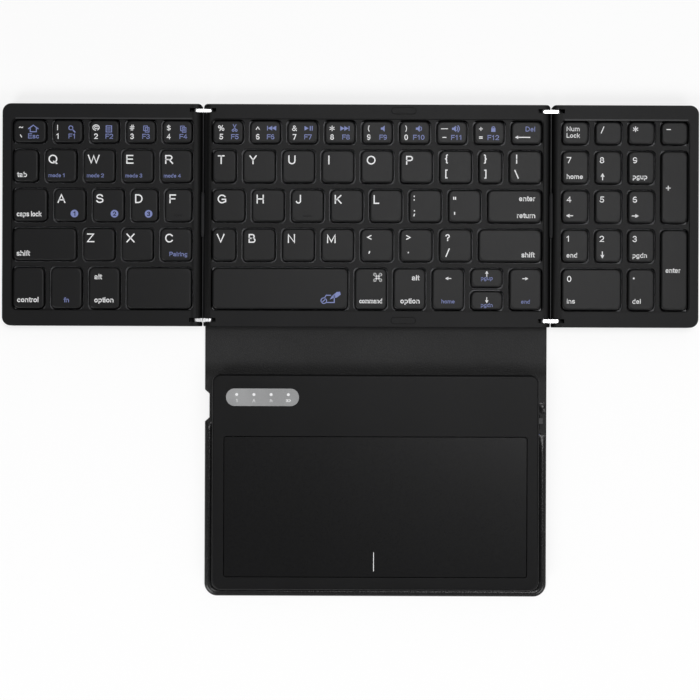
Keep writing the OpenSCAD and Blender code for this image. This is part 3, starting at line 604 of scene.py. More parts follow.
def stroke_points(path):
    """The points of one stroke, its arcs split into short steps."""
    points = []
    for token in path.split():
        values = [float(v) for v in token.lstrip("@").split(",")]
        if token[0] != "@":
            points.append(tuple(values))
            continue
        cx, cy, rx, ry, first, last = values
        steps = max(2, round(abs(last - first) / ARC_STEP))
        for i in range(steps + 1):
            a = math.radians(first + (last - first) * i / steps)
            points.append((cx + rx * math.cos(a), cy + ry * math.sin(a)))
    return [p for i, p in enumerate(points) if not i or math.dist(p, points[i - 1]) > 0.5]


class Print:
    """Ink, painted shade or a painted highlight on one body: shapes drawn flat at height z, each a
    thin solid.
    """

    def __init__(self, z, bm=None, inks=None):
        self.bm = bm or bmesh.new()
        self.inks = inks or [WHITE, BLUE, PRINT_AND_SHADE]
        self.z0 = z - INK_SINK
        self.z1 = z + INK

    def slab(self, points, faces, ink):
        """A thin solid whose top is the given flat faces."""
        top = [self.bm.verts.new((x, y, self.z1)) for x, y in points]
        low = [self.bm.verts.new((x, y, self.z0)) for x, y in points]
        uses = set()
        for face in faces:
            made = [self.bm.faces.new([top[i] for i in face]),
                    self.bm.faces.new([low[i] for i in reversed(face)])]
            for f in made:
                f.material_index = ink
            uses.update(zip(face, face[1:] + face[:1]))
        for a, b in uses:
            if (b, a) not in uses:
                wall = self.bm.faces.new((low[a], low[b], top[b], top[a]))
                wall.material_index = ink

    def shape(self, points, ink):
        area = sum(ax * by - bx * ay for (ax, ay), (bx, by) in
                   zip(points, points[1:] + points[:1]))
        if area < 0:
            points = points[::-1]
        self.slab(points, [tuple(range(len(points)))], ink)

    def line(self, points, width, ink, closed=False):
        """A line of one width through the points, mitred at each of them."""
        if not closed and math.dist(points[0], points[-1]) < 1e-6:
            points, closed = points[:-1], True
        count = len(points)
        half = width / 2
        sides = []
        for i, (x, y) in enumerate(points):
            before = points[i - 1] if closed or i else None
            after = points[(i + 1) % count] if closed or i < count - 1 else None
            turns = []
            for start, end in ((before, (x, y)), ((x, y), after)):
                if start and end:
                    length = math.dist(start, end)
                    turns.append(((end[0] - start[0]) / length, (end[1] - start[1]) / length))
            dx = sum(t[0] for t in turns)
            dy = sum(t[1] for t in turns)
            size = math.hypot(dx, dy) or 1.0
            dx, dy = dx / size, dy / size
            stretch = half * min(1.8, 1 / max(0.2, dx * turns[0][0] + dy * turns[0][1]))
            back = 0 if before and after else half if after else -half
            x, y = x - dx * back, y - dy * back
            sides.append((x - dy * stretch, y + dx * stretch))
            sides.append((x + dy * stretch, y - dx * stretch))
        last = count if closed else count - 1
        faces = []
        for i in range(last):
            j = (i + 1) % count
            faces.append((2 * i, 2 * i + 1, 2 * j + 1, 2 * j))
        self.slab(sides, faces, ink)

    def word(self, text, x, y, height, ink, align, squeeze=1.0, weight=1.0):
        """text with capitals of that height, its base line at y, and x at its l, m or r:
        left, middle or right."""
        scale = height / 100
        width = STROKE_WIDTH * weight
        strokes = []
        pen = 0.0
        for letter in text:
            if letter == " ":
                pen += WORD_SPACE
                continue
            advance, paths = LETTERS[letter]
            strokes += [[(pen + px, py) for px, py in stroke_points(path)] for path in paths]
            pen += advance
        xs = [px for stroke in strokes for px, _ in stroke]
        left, right = min(xs) - width / 2, max(xs) + width / 2
        start = {"l": left, "m": (left + right) / 2, "r": right}[align]
        for stroke in strokes:
            self.line([(x + (px - start) * scale * squeeze, y + py * scale) for px, py in stroke],
                      width * scale, ink)

    def mark(self, text, x, y, height, weight=1.0, squeeze=1.0):
        """A sign centred on (x, y) by its own ink."""
        ys = [py for letter in text for path in LETTERS[letter][1] for _, py in stroke_points(path)]
        self.word(text, x, y - (min(ys) + max(ys)) / 200 * height, height, WHITE_INK, "m",
                  squeeze, weight)

    def disc(self, x, y, radius, ink, count=20):
        self.shape(circle(x, y, radius, count), ink)

    def arc(self, x, y, radius, start, end, width, ink, count=12):
        """A ring or part of one, from start to end degrees."""
        points = [(x + radius * math.cos(math.radians(start + (end - start) * i / count)),
                   y + radius * math.sin(math.radians(start + (end - start) * i / count)))
                  for i in range(count + 1)]
        self.line(points, width, ink)

    def sign(self, name, x, y, size, ink, turn=(1, 0)):
        """One of SIGNS round (x, y), turned so that its right side looks along turn."""
        dx, dy = turn
        for part in SIGNS[name]:
            kind, *places = part.split()
            values = [[float(v) for v in place.split(",")] for place in places]
            points = [(x + size * (v[0] * dx - v[1] * dy), y + size * (v[0] * dy + v[1] * dx))
                      for v in values]
            width = float(kind[1:] or 0) * size
            if kind[0] in "LO":
                self.line(points, width, ink, closed=kind[0] == "O")
            elif kind[0] == "S":
                self.shape(points, ink)
            elif kind[0] == "D":
                self.disc(*points[0], values[0][2] * size, ink, int(values[0][3]))
            else:
                _, _, radius, start, end, count = values[0]
                self.arc(*points[0], radius * size, start, end, width, ink, int(count))

    def piece(self, name, body, slot="key"):
        return place(finish_mesh(self.bm, name, self.inks, smooth=False), body, slot)


# Small signs, about 1 across. Parts: L is a line and O a closed line, each with its width and
# points, S a shape with its points, D a disc x,y,radius,steps, and A an arc with its width and
# x,y,radius,first angle,last angle,steps. A bar parts two of them. A sign may take more rows.
SIGN_ROWS = """
home L.12 -.62,0 0,.45 .62,0|L.12 -.4,0 -.4,-.4 .4,-.4 .4,0
search A.11 -.12,.12,.26,0,360,16|L.15 .08,-.08 .42,-.42
select O.1 -.36,-.4 .36,-.4 .36,.4 -.36,.4|L.07 -.2,-.16 .2,-.16
select L.07 -.2,0 .2,0|L.07 -.2,.16 .2,.16
copy O.09 -.34,-.2 .14,-.2 .14,.4 -.34,.4|O.09 -.12,-.4 .36,-.4 .36,.2 -.12,.2
paste O.09 -.34,-.2 .14,-.2 .14,.4 -.34,.4|O.09 -.12,-.4 .36,-.4 .36,.2 -.12,.2
paste S 0,-.28 .24,-.28 .24,.06 0,.06
cut A.09 -.2,-.3,.13,0,360,12|L.09 -.13,-.18 .18,.45|A.09 .2,-.3,.13,0,360,12|L.09 .13,-.18 -.18,.45
skip S -.02,0 -.58,.308 -.58,-.308|S .5,0 -.06,.308 -.06,-.308|S .505,-.3 .615,-.3 .615,.3 .505,.3
rewind S .02,0 .58,.308 .58,-.308|S -.5,0 .06,.308 .06,-.308|S -.505,-.3 -.615,-.3 -.615,.3 -.505,.3
play S -.01,0 -.55,.297 -.55,-.297|S .14,-.3 .26,-.3 .26,.3 .14,.3|S .4,-.3 .52,-.3 .52,.3 .4,.3
sound S -.34,-.14 -.12,-.14 .16,-.42 .16,.42 -.12,.14 -.34,.14
sound_1 S -.5,-.14 -.28,-.14 0,-.42 0,.42 -.28,.14 -.5,.14|A.1 -.06,0,.3,-50,50,8
sound_2 S -.66,-.14 -.44,-.14 -.16,-.42 -.16,.42 -.44,.14 -.66,.14
sound_2 A.1 -.22,0,.3,-50,50,8|A.1 -.22,0,.52,-50,50,8
lock S -.28,-.38 .28,-.38 .28,.1 -.28,.1|A.1 0,.1,.19,0,180,12
arrow S .51,0 -.03,.297 -.03,-.297|L.14 -.5,0 .1,0
back S -.46,0 -.26,-.11 -.26,.11|L.06 -.28,0 .46,0
clover L.2 .3,-.3 -.3,.3|L.2 -.3,-.3 .3,.3
clover D -.3,-.3,.17,12|D -.3,.3,.17,12|D .3,-.3,.17,12|D .3,.3,.17,12
pad_off L.05 -.2,-.26 .18,-.26 .18,.08|L.05 -.3,-.02 -.22,.1 -.02,.1
pad_off A.045 -.34,-.17,.14,0,360,16|L.045 -.43,-.26 -.25,-.08
pad_off S -.04,-.12 .06,.06 .3,.26 .46,.28 .5,.14 .3,-.02 .12,-.04
wave D -.3,-.3,.1,12|A.12 -.3,-.3,.35,0,90,8|A.12 -.3,-.3,.65,0,90,8
battery O.1 -.5,-.25 .4,-.25 .4,.25 -.5,.25|S .46,-.12 .58,-.12 .58,.12 .46,.12
battery S -.33,-.13 -.03,-.13 -.03,.13 -.33,.13
"""
SIGNS = {}
for row in SIGN_ROWS.strip().split("\n"):
    name, parts = row.split(" ", 1)
    SIGNS.setdefault(name, []).extend(parts.split("|"))

# Where things stand on a key, in millimetres from its nearest edges, and how high they are
LETTER, LETTER_H = (2.0, 6.8), 4.05
FOOT_WORD, WORD_H, WORD_WEIGHT = (1.9, 2.35), 2.38, 1.12
PAIR_X, PAIR_H = 3.3, 2.5
PAIR_SIGN_Y, PAIR_DIGIT_Y = 3.7, 7.65
PAIR_SQUEEZE = 0.88
BLUE_X, BLUE_SIGN, BLUE_WORD_H = 4.3, 3.5, 2.25
STACK_X, STACK_Y, STACK_H = 3.2, (4.1, 11.0), 3.1
DISC_X, DISC_Y, DISC_R, DISC_DIGIT_H = 4.5, 3.7, 1.75, 1.925
DIGIT, DIGIT_H = (2.2, 5.8), 2.75
BOLD, BOLDEST = 1.15, 1.5


class Key:
    """One key's place, and what the rows of PRINTS draw on it. Places are measured from a corner:
    l, m or r (left, middle, right) and then f, c or b (front, centre, back)."""

    def __init__(self, printer, box):
        (x0, y0, _), (x1, y1, _) = box
        self.xs = {"l": x0, "m": (x0 + x1) / 2, "r": x1}
        self.ys = {"f": y0, "c": (y0 + y1) / 2, "b": y1}
        self.p = printer

    def at(self, corner, dx, dy):
        return self.xs[corner[0]] + dx, self.ys[corner[1]] + dy

    def text(self, text, corner, dx, dy, height, ink=WHITE_INK, squeeze=1.0, weight=1.0):
        """A word in which _ stands for a space."""
        self.p.word(text.replace("_", " "), *self.at(corner, dx, dy), height, int(ink), corner[0],
                    squeeze, weight)

    def foot(self, text, corner="lf", dx=FOOT_WORD[0], rise=0.0, height=WORD_H, squeeze=1.0,
             ink=WHITE_INK):
        self.text(text, corner, dx, FOOT_WORD[1] + rise, height, ink, squeeze, WORD_WEIGHT)

    def mark(self, text, corner, dx, dy, height, weight=1.0, squeeze=1.0):
        self.p.mark(text, *self.at(corner, dx, dy), height, weight, squeeze)

    def sign(self, name, corner, dx, dy, size, ink=WHITE_INK, *turn):
        self.p.sign(name, *self.at(corner, dx, dy), size, int(ink), turn or (1, 0))

    def dot(self, corner, dx, dy, radius):
        self.p.disc(*self.at(corner, dx, dy), radius, WHITE_INK, 12)

    def letter(self, text, dx=0.0):
        self.text(text, "lb", LETTER[0] + dx, -LETTER[1], LETTER_H)

    def digit(self, text):
        self.text(text, "lb", DIGIT[0], -DIGIT[1], DIGIT_H)

    def stacked(self, upper, lower, dx=0.0):
        for text, y in zip((upper, lower), STACK_Y):
            self.mark(text, "lb", STACK_X + dx, -y, STACK_H, BOLD)

    def number(self, upper, lower, sign, word, dx, sign_dx, word_dx, drop=0.0):
        """A white sign over a digit at the left, and a blue sign over a blue word at the right."""
        self.mark(upper, "lb", PAIR_X + dx, -PAIR_SIGN_Y, PAIR_H)
        self.mark(lower, "lb", PAIR_X + dx, -PAIR_DIGIT_Y, PAIR_H, BOLD, PAIR_SQUEEZE)
        self.sign(sign, "rb", sign_dx - BLUE_X, -PAIR_SIGN_Y - drop, BLUE_SIGN, BLUE_INK)
        self.p.word(word, *self.at("rb", word_dx - BLUE_X, -PAIR_DIGIT_Y - BLUE_WORD_H / 2),
                    BLUE_WORD_H, BLUE_INK, "m")

    def channel(self, text, number, dx, disc_dx):
        """A letter, and a blue disc with a bare dark number on it."""
        self.letter(text, dx)
        x, y = self.at("rf", disc_dx - DISC_X, DISC_Y)
        self.p.disc(x, y, DISC_R, BLUE_INK, 24)
        Print(self.p.z1, self.p.bm).word(number, x, y - DISC_DIGIT_H / 2, DISC_DIGIT_H, DARK_INK_AND_SHADE,
                                         "m", weight=BOLDEST)


# A node's name, then a row for each of its keys: a method of Key, its labels, two spaces and its
# numbers. A row that starts with "and" draws more on the same key.
PRINTS = """
# left_number_keys
number ~ ` home Esc  .4 -1.8 -1.7 .6
number ! 1 search F1  -.9 -.9 -.9 .6
number @ 2 select F2  0 -.6 -.4 .6
number # 3 copy F3  -.2 -.2 -.3 .6
number $ 4 paste F4  -.1 0 .1 .6
# left_tab_caps_keys
foot tab
foot caps_lock lf  1.9 0 2.38 .82
# left_upper_letter_keys
letter Q  -.1
and foot mode_1 lf  1.9 0 1.7 1 1
letter W  .3
and foot mode_2 lf  1.9 0 1.7 1 1
letter E  .3
and foot mode_3 lf  1.9 0 1.7 1 1
letter R  .5
and foot mode_4 lf  1.9 0 1.7 1 1
# left_home_letter_keys
channel A 1  -.1 -.85
channel S 2  0 -.1
channel D 3  .2 0
letter F  .4
# left_shift_key
foot shift
# left_lower_letter_keys
letter Z
letter X  .5
letter C  .6
and foot Pairing rf  -2.2 0 1.95 1 1
# left_modifier_keys
foot control lf  2.2 .75
foot fn mf  0 .75 2.2 1 1
text alt lb  2.9 -5.7 2.38 0 1 1.12
and foot option lf  2.9 .75
# center_number_keys
number % 5 cut F5  .85 .1 .2
number ^ 6 rewind F6  .5 0 -.5
number & 7 play F7  .2 -.2 -.5
number * 8 skip F8  .3 -.8 -.2
number ( 9 sound F9  0 -.2 -.3
number ) 0 sound_1 F10  0 -.7 -1.1
number _ - sound_2 F11  .4 -.7 -1.1
number + = lock F12  0 -1.2 -1.2
text Del rb  -3.4 -4.825 2.25 1
and sign back mb  -2 -7.5 7.4
# center_upper_letter_keys
letter T  .65
letter Y  1.2
letter U  1
letter I  1.3
letter O  .9
letter P  .9
stacked { [  .2
stacked } ]
stacked | \\  .4
# center_home_letter_keys
letter G  .6
letter H  .45
letter J  .4
letter K  .2
letter L
stacked : ;  -.6
stacked " '  -.1
# center_enter_key
text enter rb  -3.2 -5.3 2.38 0 1 1.12
and foot return rf  -3.2
# center_lower_letter_keys
letter V  .3
letter B  .95
letter N  .9
letter M  .85
stacked < ,  1
stacked > .  .9
stacked ? /  .85
# center_shift_key
foot shift rf  -3.3
# center_space_key
sign pad_off rf  -8.2 5.8 9.2 1
# center_modifier_keys
sign clover rb  -4.4 -4.4 4.3
and foot command mf  0 .75 2.2 .78
text alt rb  -2.9 -5.7 2.38 0 1 1.12
and foot option rf  -2.9 .75
# left_arrow_key
sign arrow mb  0 -4.8 2.6 0 -1 0
and text home mf  0 3.2 1.8 1
# up_arrow_key
sign arrow mb  0 -2.5 2.6 0 0 1
and text pgup mf  0 3.6 1.8 1
# down_arrow_key
sign arrow mb  0 -4.5 2.6 0 0 -1
and text pgdn mf  0 1.6 1.8 1
# right_arrow_key
sign arrow mb  0 -4.8 2.6
and text end mf  0 3.2 1.8 1
# numpad_top_keys
text Num lb  2.1 -4.6 2.15
and text Lock lb  2.1 -7.6 2.15
mark / lb  3.4 -4 2.6
mark * lb  3.4 -3.6 2.6
mark - lb  3.4 -3.7 2.6
# numpad_upper_keys
digit 7
and foot home lf  2.2 0 2.2
digit 8
and sign arrow lf  3.5 3.5 3 0 0 1
digit 9
and foot pgup lf  2.2 0 2.2
# numpad_middle_keys
digit 4
and sign arrow lf  3.5 3.5 3 0 -1 0
digit 5
digit 6
and sign arrow lf  3.5 3.5 3
# numpad_lower_keys
digit 1
and foot end lf  2.2 0 2.2
digit 2
and sign arrow lf  3.5 3.5 3 0 0 -1
digit 3
and foot pgdn lf  2.2 0 2.2
# numpad_plus_key
mark + lc  3.3 -.4 3.2 .8
# numpad_enter_key
text enter lc  2.2 -1.2 2.3 0 .95
# numpad_zero_dot_keys
text 0 lb  2.5 -6.2 2.75
and text ins lf  2.5 3.3 2.2
dot lb  2.8 -4.5 .42
and text del lf  2.2 3.3 2.2
"""
printed = {}
for row in PRINTS.strip().split("\n"):
    first, _, rest = row.partition(" ")
    if first == "#":
        drawn = printed.setdefault(rest, [])
    elif first == "and":
        drawn[-1].append(rest)
    else:
        drawn.append([row])


def named(node, kind):
    """The name of what a key node carries."""
    return node.replace("_keys", "").replace("_key", "") + kind


for node, drawn in printed.items():
    printer = Print(KEY_BOXES[node][0][1][2])
    for calls, box in zip(drawn, KEY_BOXES[node]):
        for call in calls:
            labels, _, numbers = call.partition("  ")
            method, *labels = labels.split(" ")
            getattr(Key(printer, box), method)(*labels, *map(float, numbers.split()))
    printer.piece(named(node, "_print"), node)


# ---- Touchpad unit ----

UNIT_RADIUS, UNIT_FILLET = 3.7, 1.1
UNIT_WALL, UNIT_ROOF = 1.5, 1.0
UNIT_SPLIT = UNIT_ROOF + 1.2
OPENING_RADIUS, OPENING_CLEAR = 1.3, 0.3
WINDOW_CLEAR = 0.05
LIP = 0.18

bezel_low, bezel_high = cad_box("touchpad_bezel")
touch_low, touch_high = cad_box("touch_surface")
window_low, window_high = cad_box("indicator_window")


def unit_shell():
    """The upper case, with a rounded top edge, and its openings for the pad and the window."""
    def loop(inset, radius, z, low=bezel_low, high=bezel_high):
        return ring(bm, set_in(low, high, inset, radius, 8), z)

    bm = bmesh.new()
    top = bezel_high.z
    split = cad_box("touchpad_base")[0].z + UNIT_SPLIT
    rings = [loop(0, UNIT_RADIUS, split)]
    for i in range(7):
        a = math.radians(90 * i / 6)
        inset = UNIT_FILLET * (1 - math.cos(a))
        rings.append(loop(inset, UNIT_RADIUS - inset, top - UNIT_FILLET * (1 - math.sin(a))))
    stack(bm, rings)
    roof = top - UNIT_ROOF
    holes_top, holes_low = [], []
    pill_radius = (window_high.y - window_low.y) / 2 + WINDOW_CLEAR - 0.01
    steps = ((LIP, top), (LIP * 0.3, top - LIP * 0.3), (0, top - LIP), (0, roof))
    for low, high, clear, radius in ((touch_low, touch_high, OPENING_CLEAR, OPENING_RADIUS),
                                     (window_low, window_high, WINDOW_CLEAR, pill_radius)):
        hole = [loop(-clear - grow, radius + grow, z, low, high) for grow, z in steps]
        stack(bm, hole)
        holes_top.append(hole[0])
        holes_low.append(hole[-1])
    fill(bm, rings[-1], holes_top)
    inner_high = loop(UNIT_WALL, UNIT_RADIUS - UNIT_WALL, roof)
    inner_low = loop(UNIT_WALL, UNIT_RADIUS - UNIT_WALL, split)
    fill(bm, inner_high, holes_low)
    bridge(bm, inner_high, inner_low)
    bridge(bm, inner_low, rings[0])
    shell = finish_mesh(bm, "unit_upper_case", [UNIT], 30)
    shell.modifiers.new("even_shading", "WEIGHTED_NORMAL").keep_sharp = True
    return shell


place(unit_shell(), "touchpad", "case", ["touchpad_bezel"])


# ---- Bevelled CAD pieces ----

# Edges sharper than this are rounded
EDGE_ANGLE = 40


def dress(node, shader, bevel=0.0, segments=2):
    """Gives a CAD node its material, and small rounded edges."""
    piece = NODES[node]
    for slot in piece.material_slots:
        slot.material = shader.material
    if bevel:
        piece.modifiers.new("weld", "WELD").merge_threshold = 1e-6
        edge = piece.modifiers.new("edges", "BEVEL")
        edge.width, edge.segments = bevel * MM, segments
        edge.limit_method, edge.angle_limit = "ANGLE", math.radians(EDGE_ANGLE)
        edge.harden_normals = True


# The rails beside the hinges are smooth. Painted shade darkens bands on them, for the shade where
# they round off to the gap
frames = {n: cad_box(n) for n in ("center_frame", "left_frame", "right_frame")}
RAILS = moulded("frame", (0.0053, 0.0053, 0.0057), 0.5, 0.16, 0.018, specular=0.15)
left_edge, right_edge = frames["left_frame"][1].x, frames["right_frame"][0].x
near_edge, far_edge = frames["center_frame"][0].x, frames["center_frame"][1].x
RAILS.paint_shade_bands("X", [(left_edge - 2.7, left_edge), (left_edge - 5.0, left_edge - 4.0),
                        (near_edge + 1.4, near_edge + 3.6), (far_edge - 1.3, far_edge),
                        (far_edge - 3.8, far_edge - 3.0), (right_edge, right_edge + 1.7),
                        (right_edge + 3.0, right_edge + 4.8)], 0.3, 0.1)
for nodes, *look in (
        ("center_frame left_frame right_frame", RAILS, 0.3, 3),
        ("center_base left_base right_base", CASE, 0.1),
        ("touchpad_base", UNIT, 0.1),
        ("touch_surface", GLIDE, 0.25, 3),
        ("left_links right_links", LINK, 0.25, 3),
        ("center_switch_plate left_switch_plate right_switch_plate", STEEL),
        ("charging_port click_switch touchpad_screws", STEEL),
        ("center_bumpers", CASE, 0.12),
        ("left_feet right_feet", RUBBER, 0.12),
        ("controller_board touchpad_board", BOARD),
        ("battery", FOIL, 0.3),
        ("indicator_window", WINDOW, 0.12),
        ("indicator_leds", WHITE),
        ("power_switch", KNOB, 0.15)):
    for node in nodes.split():
        dress(node, *look)


# ---- Dome sheets: a rubber sheet under each panel's keys, and a dome under each key ----

# The sheet's thickness, how deep a dome sinks into it, and how far a key goes down
SHEET_T, DOME_FOOT, PRESS = 0.3, 0.05, 1.3
# Radius and share of the height, from the foot up
DOME_PROFILE = [(2.75, 0.0), (2.7, 0.04), (2.35, 0.3), (2.1, 0.45), (1.75, 0.52), (1.55, 0.56),
                (1.45, 0.6), (1.4, 0.97), (1.3, 1.0)]
DOME_SHEETS = {"center": "center_domes", "left_panel": "left_domes", "right_panel": "right_domes"}
CARRIER = {j["child"]: j["parent"] for j in frame["record"]["behaviour"]["joints"]}


def add_dome(bm, x, y, z0, z1):
    """One rubber dome: a foot, a soft shoulder and the plunger that carries the cap."""
    solid(bm, [ring(bm, circle(x, y, r, 16), z0 + (z1 - z0) * rise) for r, rise in DOME_PROFILE])


for body, node in DOME_SHEETS.items():
    low, high = cad_box(node)
    bm = bmesh.new()
    solid(bm, [ring(bm, set_in(low, high, 0, 1.0), low.z + t) for t in (0, SHEET_T)])
    place(finish_mesh(bm, node[:-1] + "_sheet", [SILICONE]), body, "dome_rubber", [node])
for node in KEY_NODES:
    body = CARRIER[node]
    low, high = cad_box(DOME_SHEETS[body])
    foot = low.z + SHEET_T
    bm = bmesh.new()
    for a, b in KEY_BOXES[node]:
        add_dome(bm, (a[0] + b[0]) / 2, (a[1] + b[1]) / 2, foot - DOME_FOOT, high.z)
    domes = place(finish_mesh(bm, named(node, "_domes"), [SILICONE], 50), body, "dome_rubber",
                  [DOME_SHEETS[body]])
    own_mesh(domes)


# ---- Prints on the touchpad unit ----

# The line between the left and the right half of the touch surface's front edge
CLICK_X, CLICK_YS, CLICK_W = touch_low.x + 68.4, (2.75, 11.1), 0.3
click = Print(touch_high.z)
click.line([(CLICK_X, touch_low.y + y) for y in CLICK_YS], CLICK_W, WHITE_INK)
click.piece("click_mark", "touch_surface", "touch")

# The four lights of the window, each with its sign below: 1, A, radio and battery
LIGHT_R, SIGN_DROP, LIGHT_WORD_H = 0.68, 2.75, 1.5
lights = Print(window_high.z)
for i, (low, high) in enumerate(sorted(islands("indicator_leds"))):
    x, y = (low[0] + high[0]) / 2, (low[1] + high[1]) / 2
    lights.disc(x, y, LIGHT_R, WHITE_INK)
    if i < 2:
        lights.word("1A"[i], x, y - SIGN_DROP - LIGHT_WORD_H / 2, LIGHT_WORD_H, WHITE_INK, "m")
    else:
        name, size = (("wave", 1.5), ("battery", 1.9))[i - 2]
        lights.sign(name, x, y - SIGN_DROP, size, WHITE_INK)
lights.piece("light_signs", "touchpad", "window")

# Painted shade: a dark line round each pad on the centre panel, for the shade in its groove
GROOVE_W = 0.5
grooves = Print(frames["center_frame"][1].z)
for low, high in islands("center_bumpers"):
    grooves.line(set_in(low, high, 0, (high[1] - low[1]) / 2 - 0.01), GROOVE_W, DARK_INK_AND_SHADE,
                 closed=True)
grooves.piece("bumper_grooves", "center", "rubber")

# A painted highlight: a lighter line behind the side panels' number rows, for their lit recess
# wall, and where it stops short of the caps
FIELD_EDGE, EDGE_SHINE, SHINE_LEFT, SHINE_RIGHT = 0.55, 0.7, 1.5, 0.5
for body, node, row in (("left_panel", "left_frame", "left_number_keys"),
                        ("right_panel", "right_frame", "numpad_top_keys")):
    first, last = KEY_BOXES[row][0], KEY_BOXES[row][-1]
    y = first[1][1] + FIELD_EDGE
    shine = Print(frames[node][1].z, inks=[PLASTIC_AND_HIGHLIGHT])
    shine.line([(first[0][0] + SHINE_LEFT, y), (last[1][0] - SHINE_RIGHT, y)], EDGE_SHINE, 0)
    shine.piece(node + "_field_edge", body, "case")


# ---- Cover ----

center_low, center_high = cad_box("cover_center")
flap_low, flap_high = cad_box("cover_flap")
FOLD_Y = center_low.y
SPREAD = (0.15, 0.45)
COVER_X0, COVER_X1 = flap_low.x - SPREAD[0], flap_high.x + SPREAD[1]
COVER_T, COVER_EDGE, COVER_RADIUS = center_high.z, 0.42, 6.0
SEAM_Y = PAD_FOLD_Y + 4.5
# The pressed rim's width and height, and the length over which it fades out
RIM, RIM_LIFT, RIM_TAPER = 3.75, 0.85, 2.5
NOTCH_Y = PAD_FOLD_Y - 0.3 - 14.45
NOTCH_HALF, NOTCH_SLOPE, NOTCH_DEPTH = 5.5, 1.85, 2.06
knob_low, knob_high = cad_box("power_switch")
KNOB_CLEAR = 4.0
LEFT_RIM_START = NOTCH_Y - NOTCH_HALF - NOTCH_SLOPE
RIGHT_RIM_START = knob_high.y + 6.0
# Places across the sheet, from its long edges in millimetres, and between them in shares
FROM_EDGE = [0.0, 0.3, 0.6, 1.0, 1.4, 1.8, 2.2, 2.6, 3.0, 3.4, 3.8, 6.5]
BETWEEN = (0.2, 0.4, 0.6, 0.8)


def cover_rows(y0, y1, fine):
    """Places of the sheet's cross-sections along Y: close together near each of the fine places."""
    rows = {y0, y1}
    y = y0
    while y < y1:
        near = min(abs(y - f) for f in fine)
        y += 0.25 if near < 2.5 else 1.0 if near < 9 else 4.0
        rows.add(min(y, y1))
    return sorted(rows)


def notch(y):
    """How far the socket's notch cuts into the left edge at y."""
    away = abs(y - NOTCH_Y) - NOTCH_HALF
    return NOTCH_DEPTH * min(1.0, max(0.0, 1 - away / NOTCH_SLOPE))


def rim_height(x, y):
    """Rise of the pressed rim over the flat cover. It fades out before the socket and the knob."""
    d = edge_distance(x, y)
    if d <= 0 or d >= RIM:
        return 0.0
    start = LEFT_RIM_START if x < (COVER_X0 + COVER_X1) / 2 else RIGHT_RIM_START
    fade = min(1.0, max(0.0, (start - y) / RIM_TAPER))
    if x > COVER_X1 - 2 * RIM:
        past_knob = max(knob_low.y - KNOB_CLEAR - y, y - knob_high.y - 1.0)
        fade *= min(1.0, max(0.0, past_knob / RIM_TAPER))
    return RIM_LIFT * fade * math.sin(math.pi * d / RIM) ** 0.9


def sheet_section(y):
    """Left and right edge of the front sheet at y, with its round corners and its notch."""
    short = max(0.0, COVER_RADIUS - (y - flap_low.y))
    cut = COVER_RADIUS - math.sqrt(max(0.0, COVER_RADIUS ** 2 - short ** 2))
    return COVER_X0 + max(cut, notch(y)), COVER_X1 - cut


def edge_distance(x, y):
    """Distance from (x, y) to the outline of the flap, which has round front corners."""
    near_x = min(x - COVER_X0, COVER_X1 - x)
    near_y = y - flap_low.y
    if near_x < COVER_RADIUS and near_y < COVER_RADIUS:
        return COVER_RADIUS - math.hypot(COVER_RADIUS - near_x, COVER_RADIUS - near_y)
    return min(near_x, near_y)


def cover_sheet(name, y0, y1, fine, is_front):
    """A sheet lofted along Y, with rounded long edges. The front one has round corners, a rounded
    front edge and the pressed rim."""
    bm = bmesh.new()
    rings = []
    rows = cover_rows(y0, y1, fine)
    if is_front:
        rows = sorted({*rows, *(y0 + 0.4 * i for i in range(1, 18))})
        rows = [y0 + COVER_EDGE * (1 - math.cos(math.radians(a))) for a in (0, 25, 50, 75)] + [
            y for y in rows if y > y0 + COVER_EDGE]
    for y in rows:
        left, right = sheet_section(y) if is_front else (COVER_X0, COVER_X1)
        t = 0.0
        if is_front and y < y0 + COVER_EDGE:
            t = COVER_EDGE * (1 - math.sqrt(max(0.0, 1 - (1 - (y - y0) / COVER_EDGE) ** 2)))
        low, high = t, COVER_T - t
        e = min(COVER_EDGE, (high - low) / 2)
        cols = [left + e + a for a in FROM_EDGE] + [
            left + (right - left) * f for f in BETWEEN] + [
            right - e - a for a in reversed(FROM_EDGE)]

        def rounded(x, angles, lower):
            """Points round a long edge. Those at the angles in lower are on its lower half."""
            return [(x + e * math.cos(math.radians(a)),
                     (low + e if a in lower else high - e) + e * math.sin(math.radians(a)))
                    for a in angles]

        loop = [(x, low) for x in cols]
        loop += rounded(right - e, (-60, -30, 0, 30, 60), (-60, -30))
        loop += [(x, high + (rim_height(x, y) if is_front else 0.0)) for x in reversed(cols)]
        loop += rounded(left + e, (120, 150, 180, 210, 240), (180, 210, 240))
        rings.append([bm.verts.new((x, y, z)) for x, z in loop])
    solid(bm, rings)
    sheet = finish_mesh(bm, name, [LEATHER, EDGE], 50)
    for face in sheet.data.polygons:
        if face.center.z / MM > COVER_T + 0.06:
            face.material_index = 1
    return sheet


for name, y0, y1, fine, is_front, nodes, bodies, bend in (
        ("cover_back_half", SEAM_Y, center_high.y, [FOLD_Y], False, ["cover_center", "cover_spine"],
         ("spine", "center"), (FOLD_Y - 2.0, FOLD_Y + 0.8)),
        ("cover_front_half", flap_low.y, SEAM_Y,
         [PAD_FOLD_Y, flap_low.y, NOTCH_Y - 7, NOTCH_Y + 7], True, ["cover_flap"],
         ("touchpad", "spine"), (PAD_FOLD_Y - 0.25, PAD_FOLD_Y + 2.2))):
    sheet = cover_sheet(name, y0, y1, fine, is_front)
    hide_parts(*nodes)
    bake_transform(sheet)

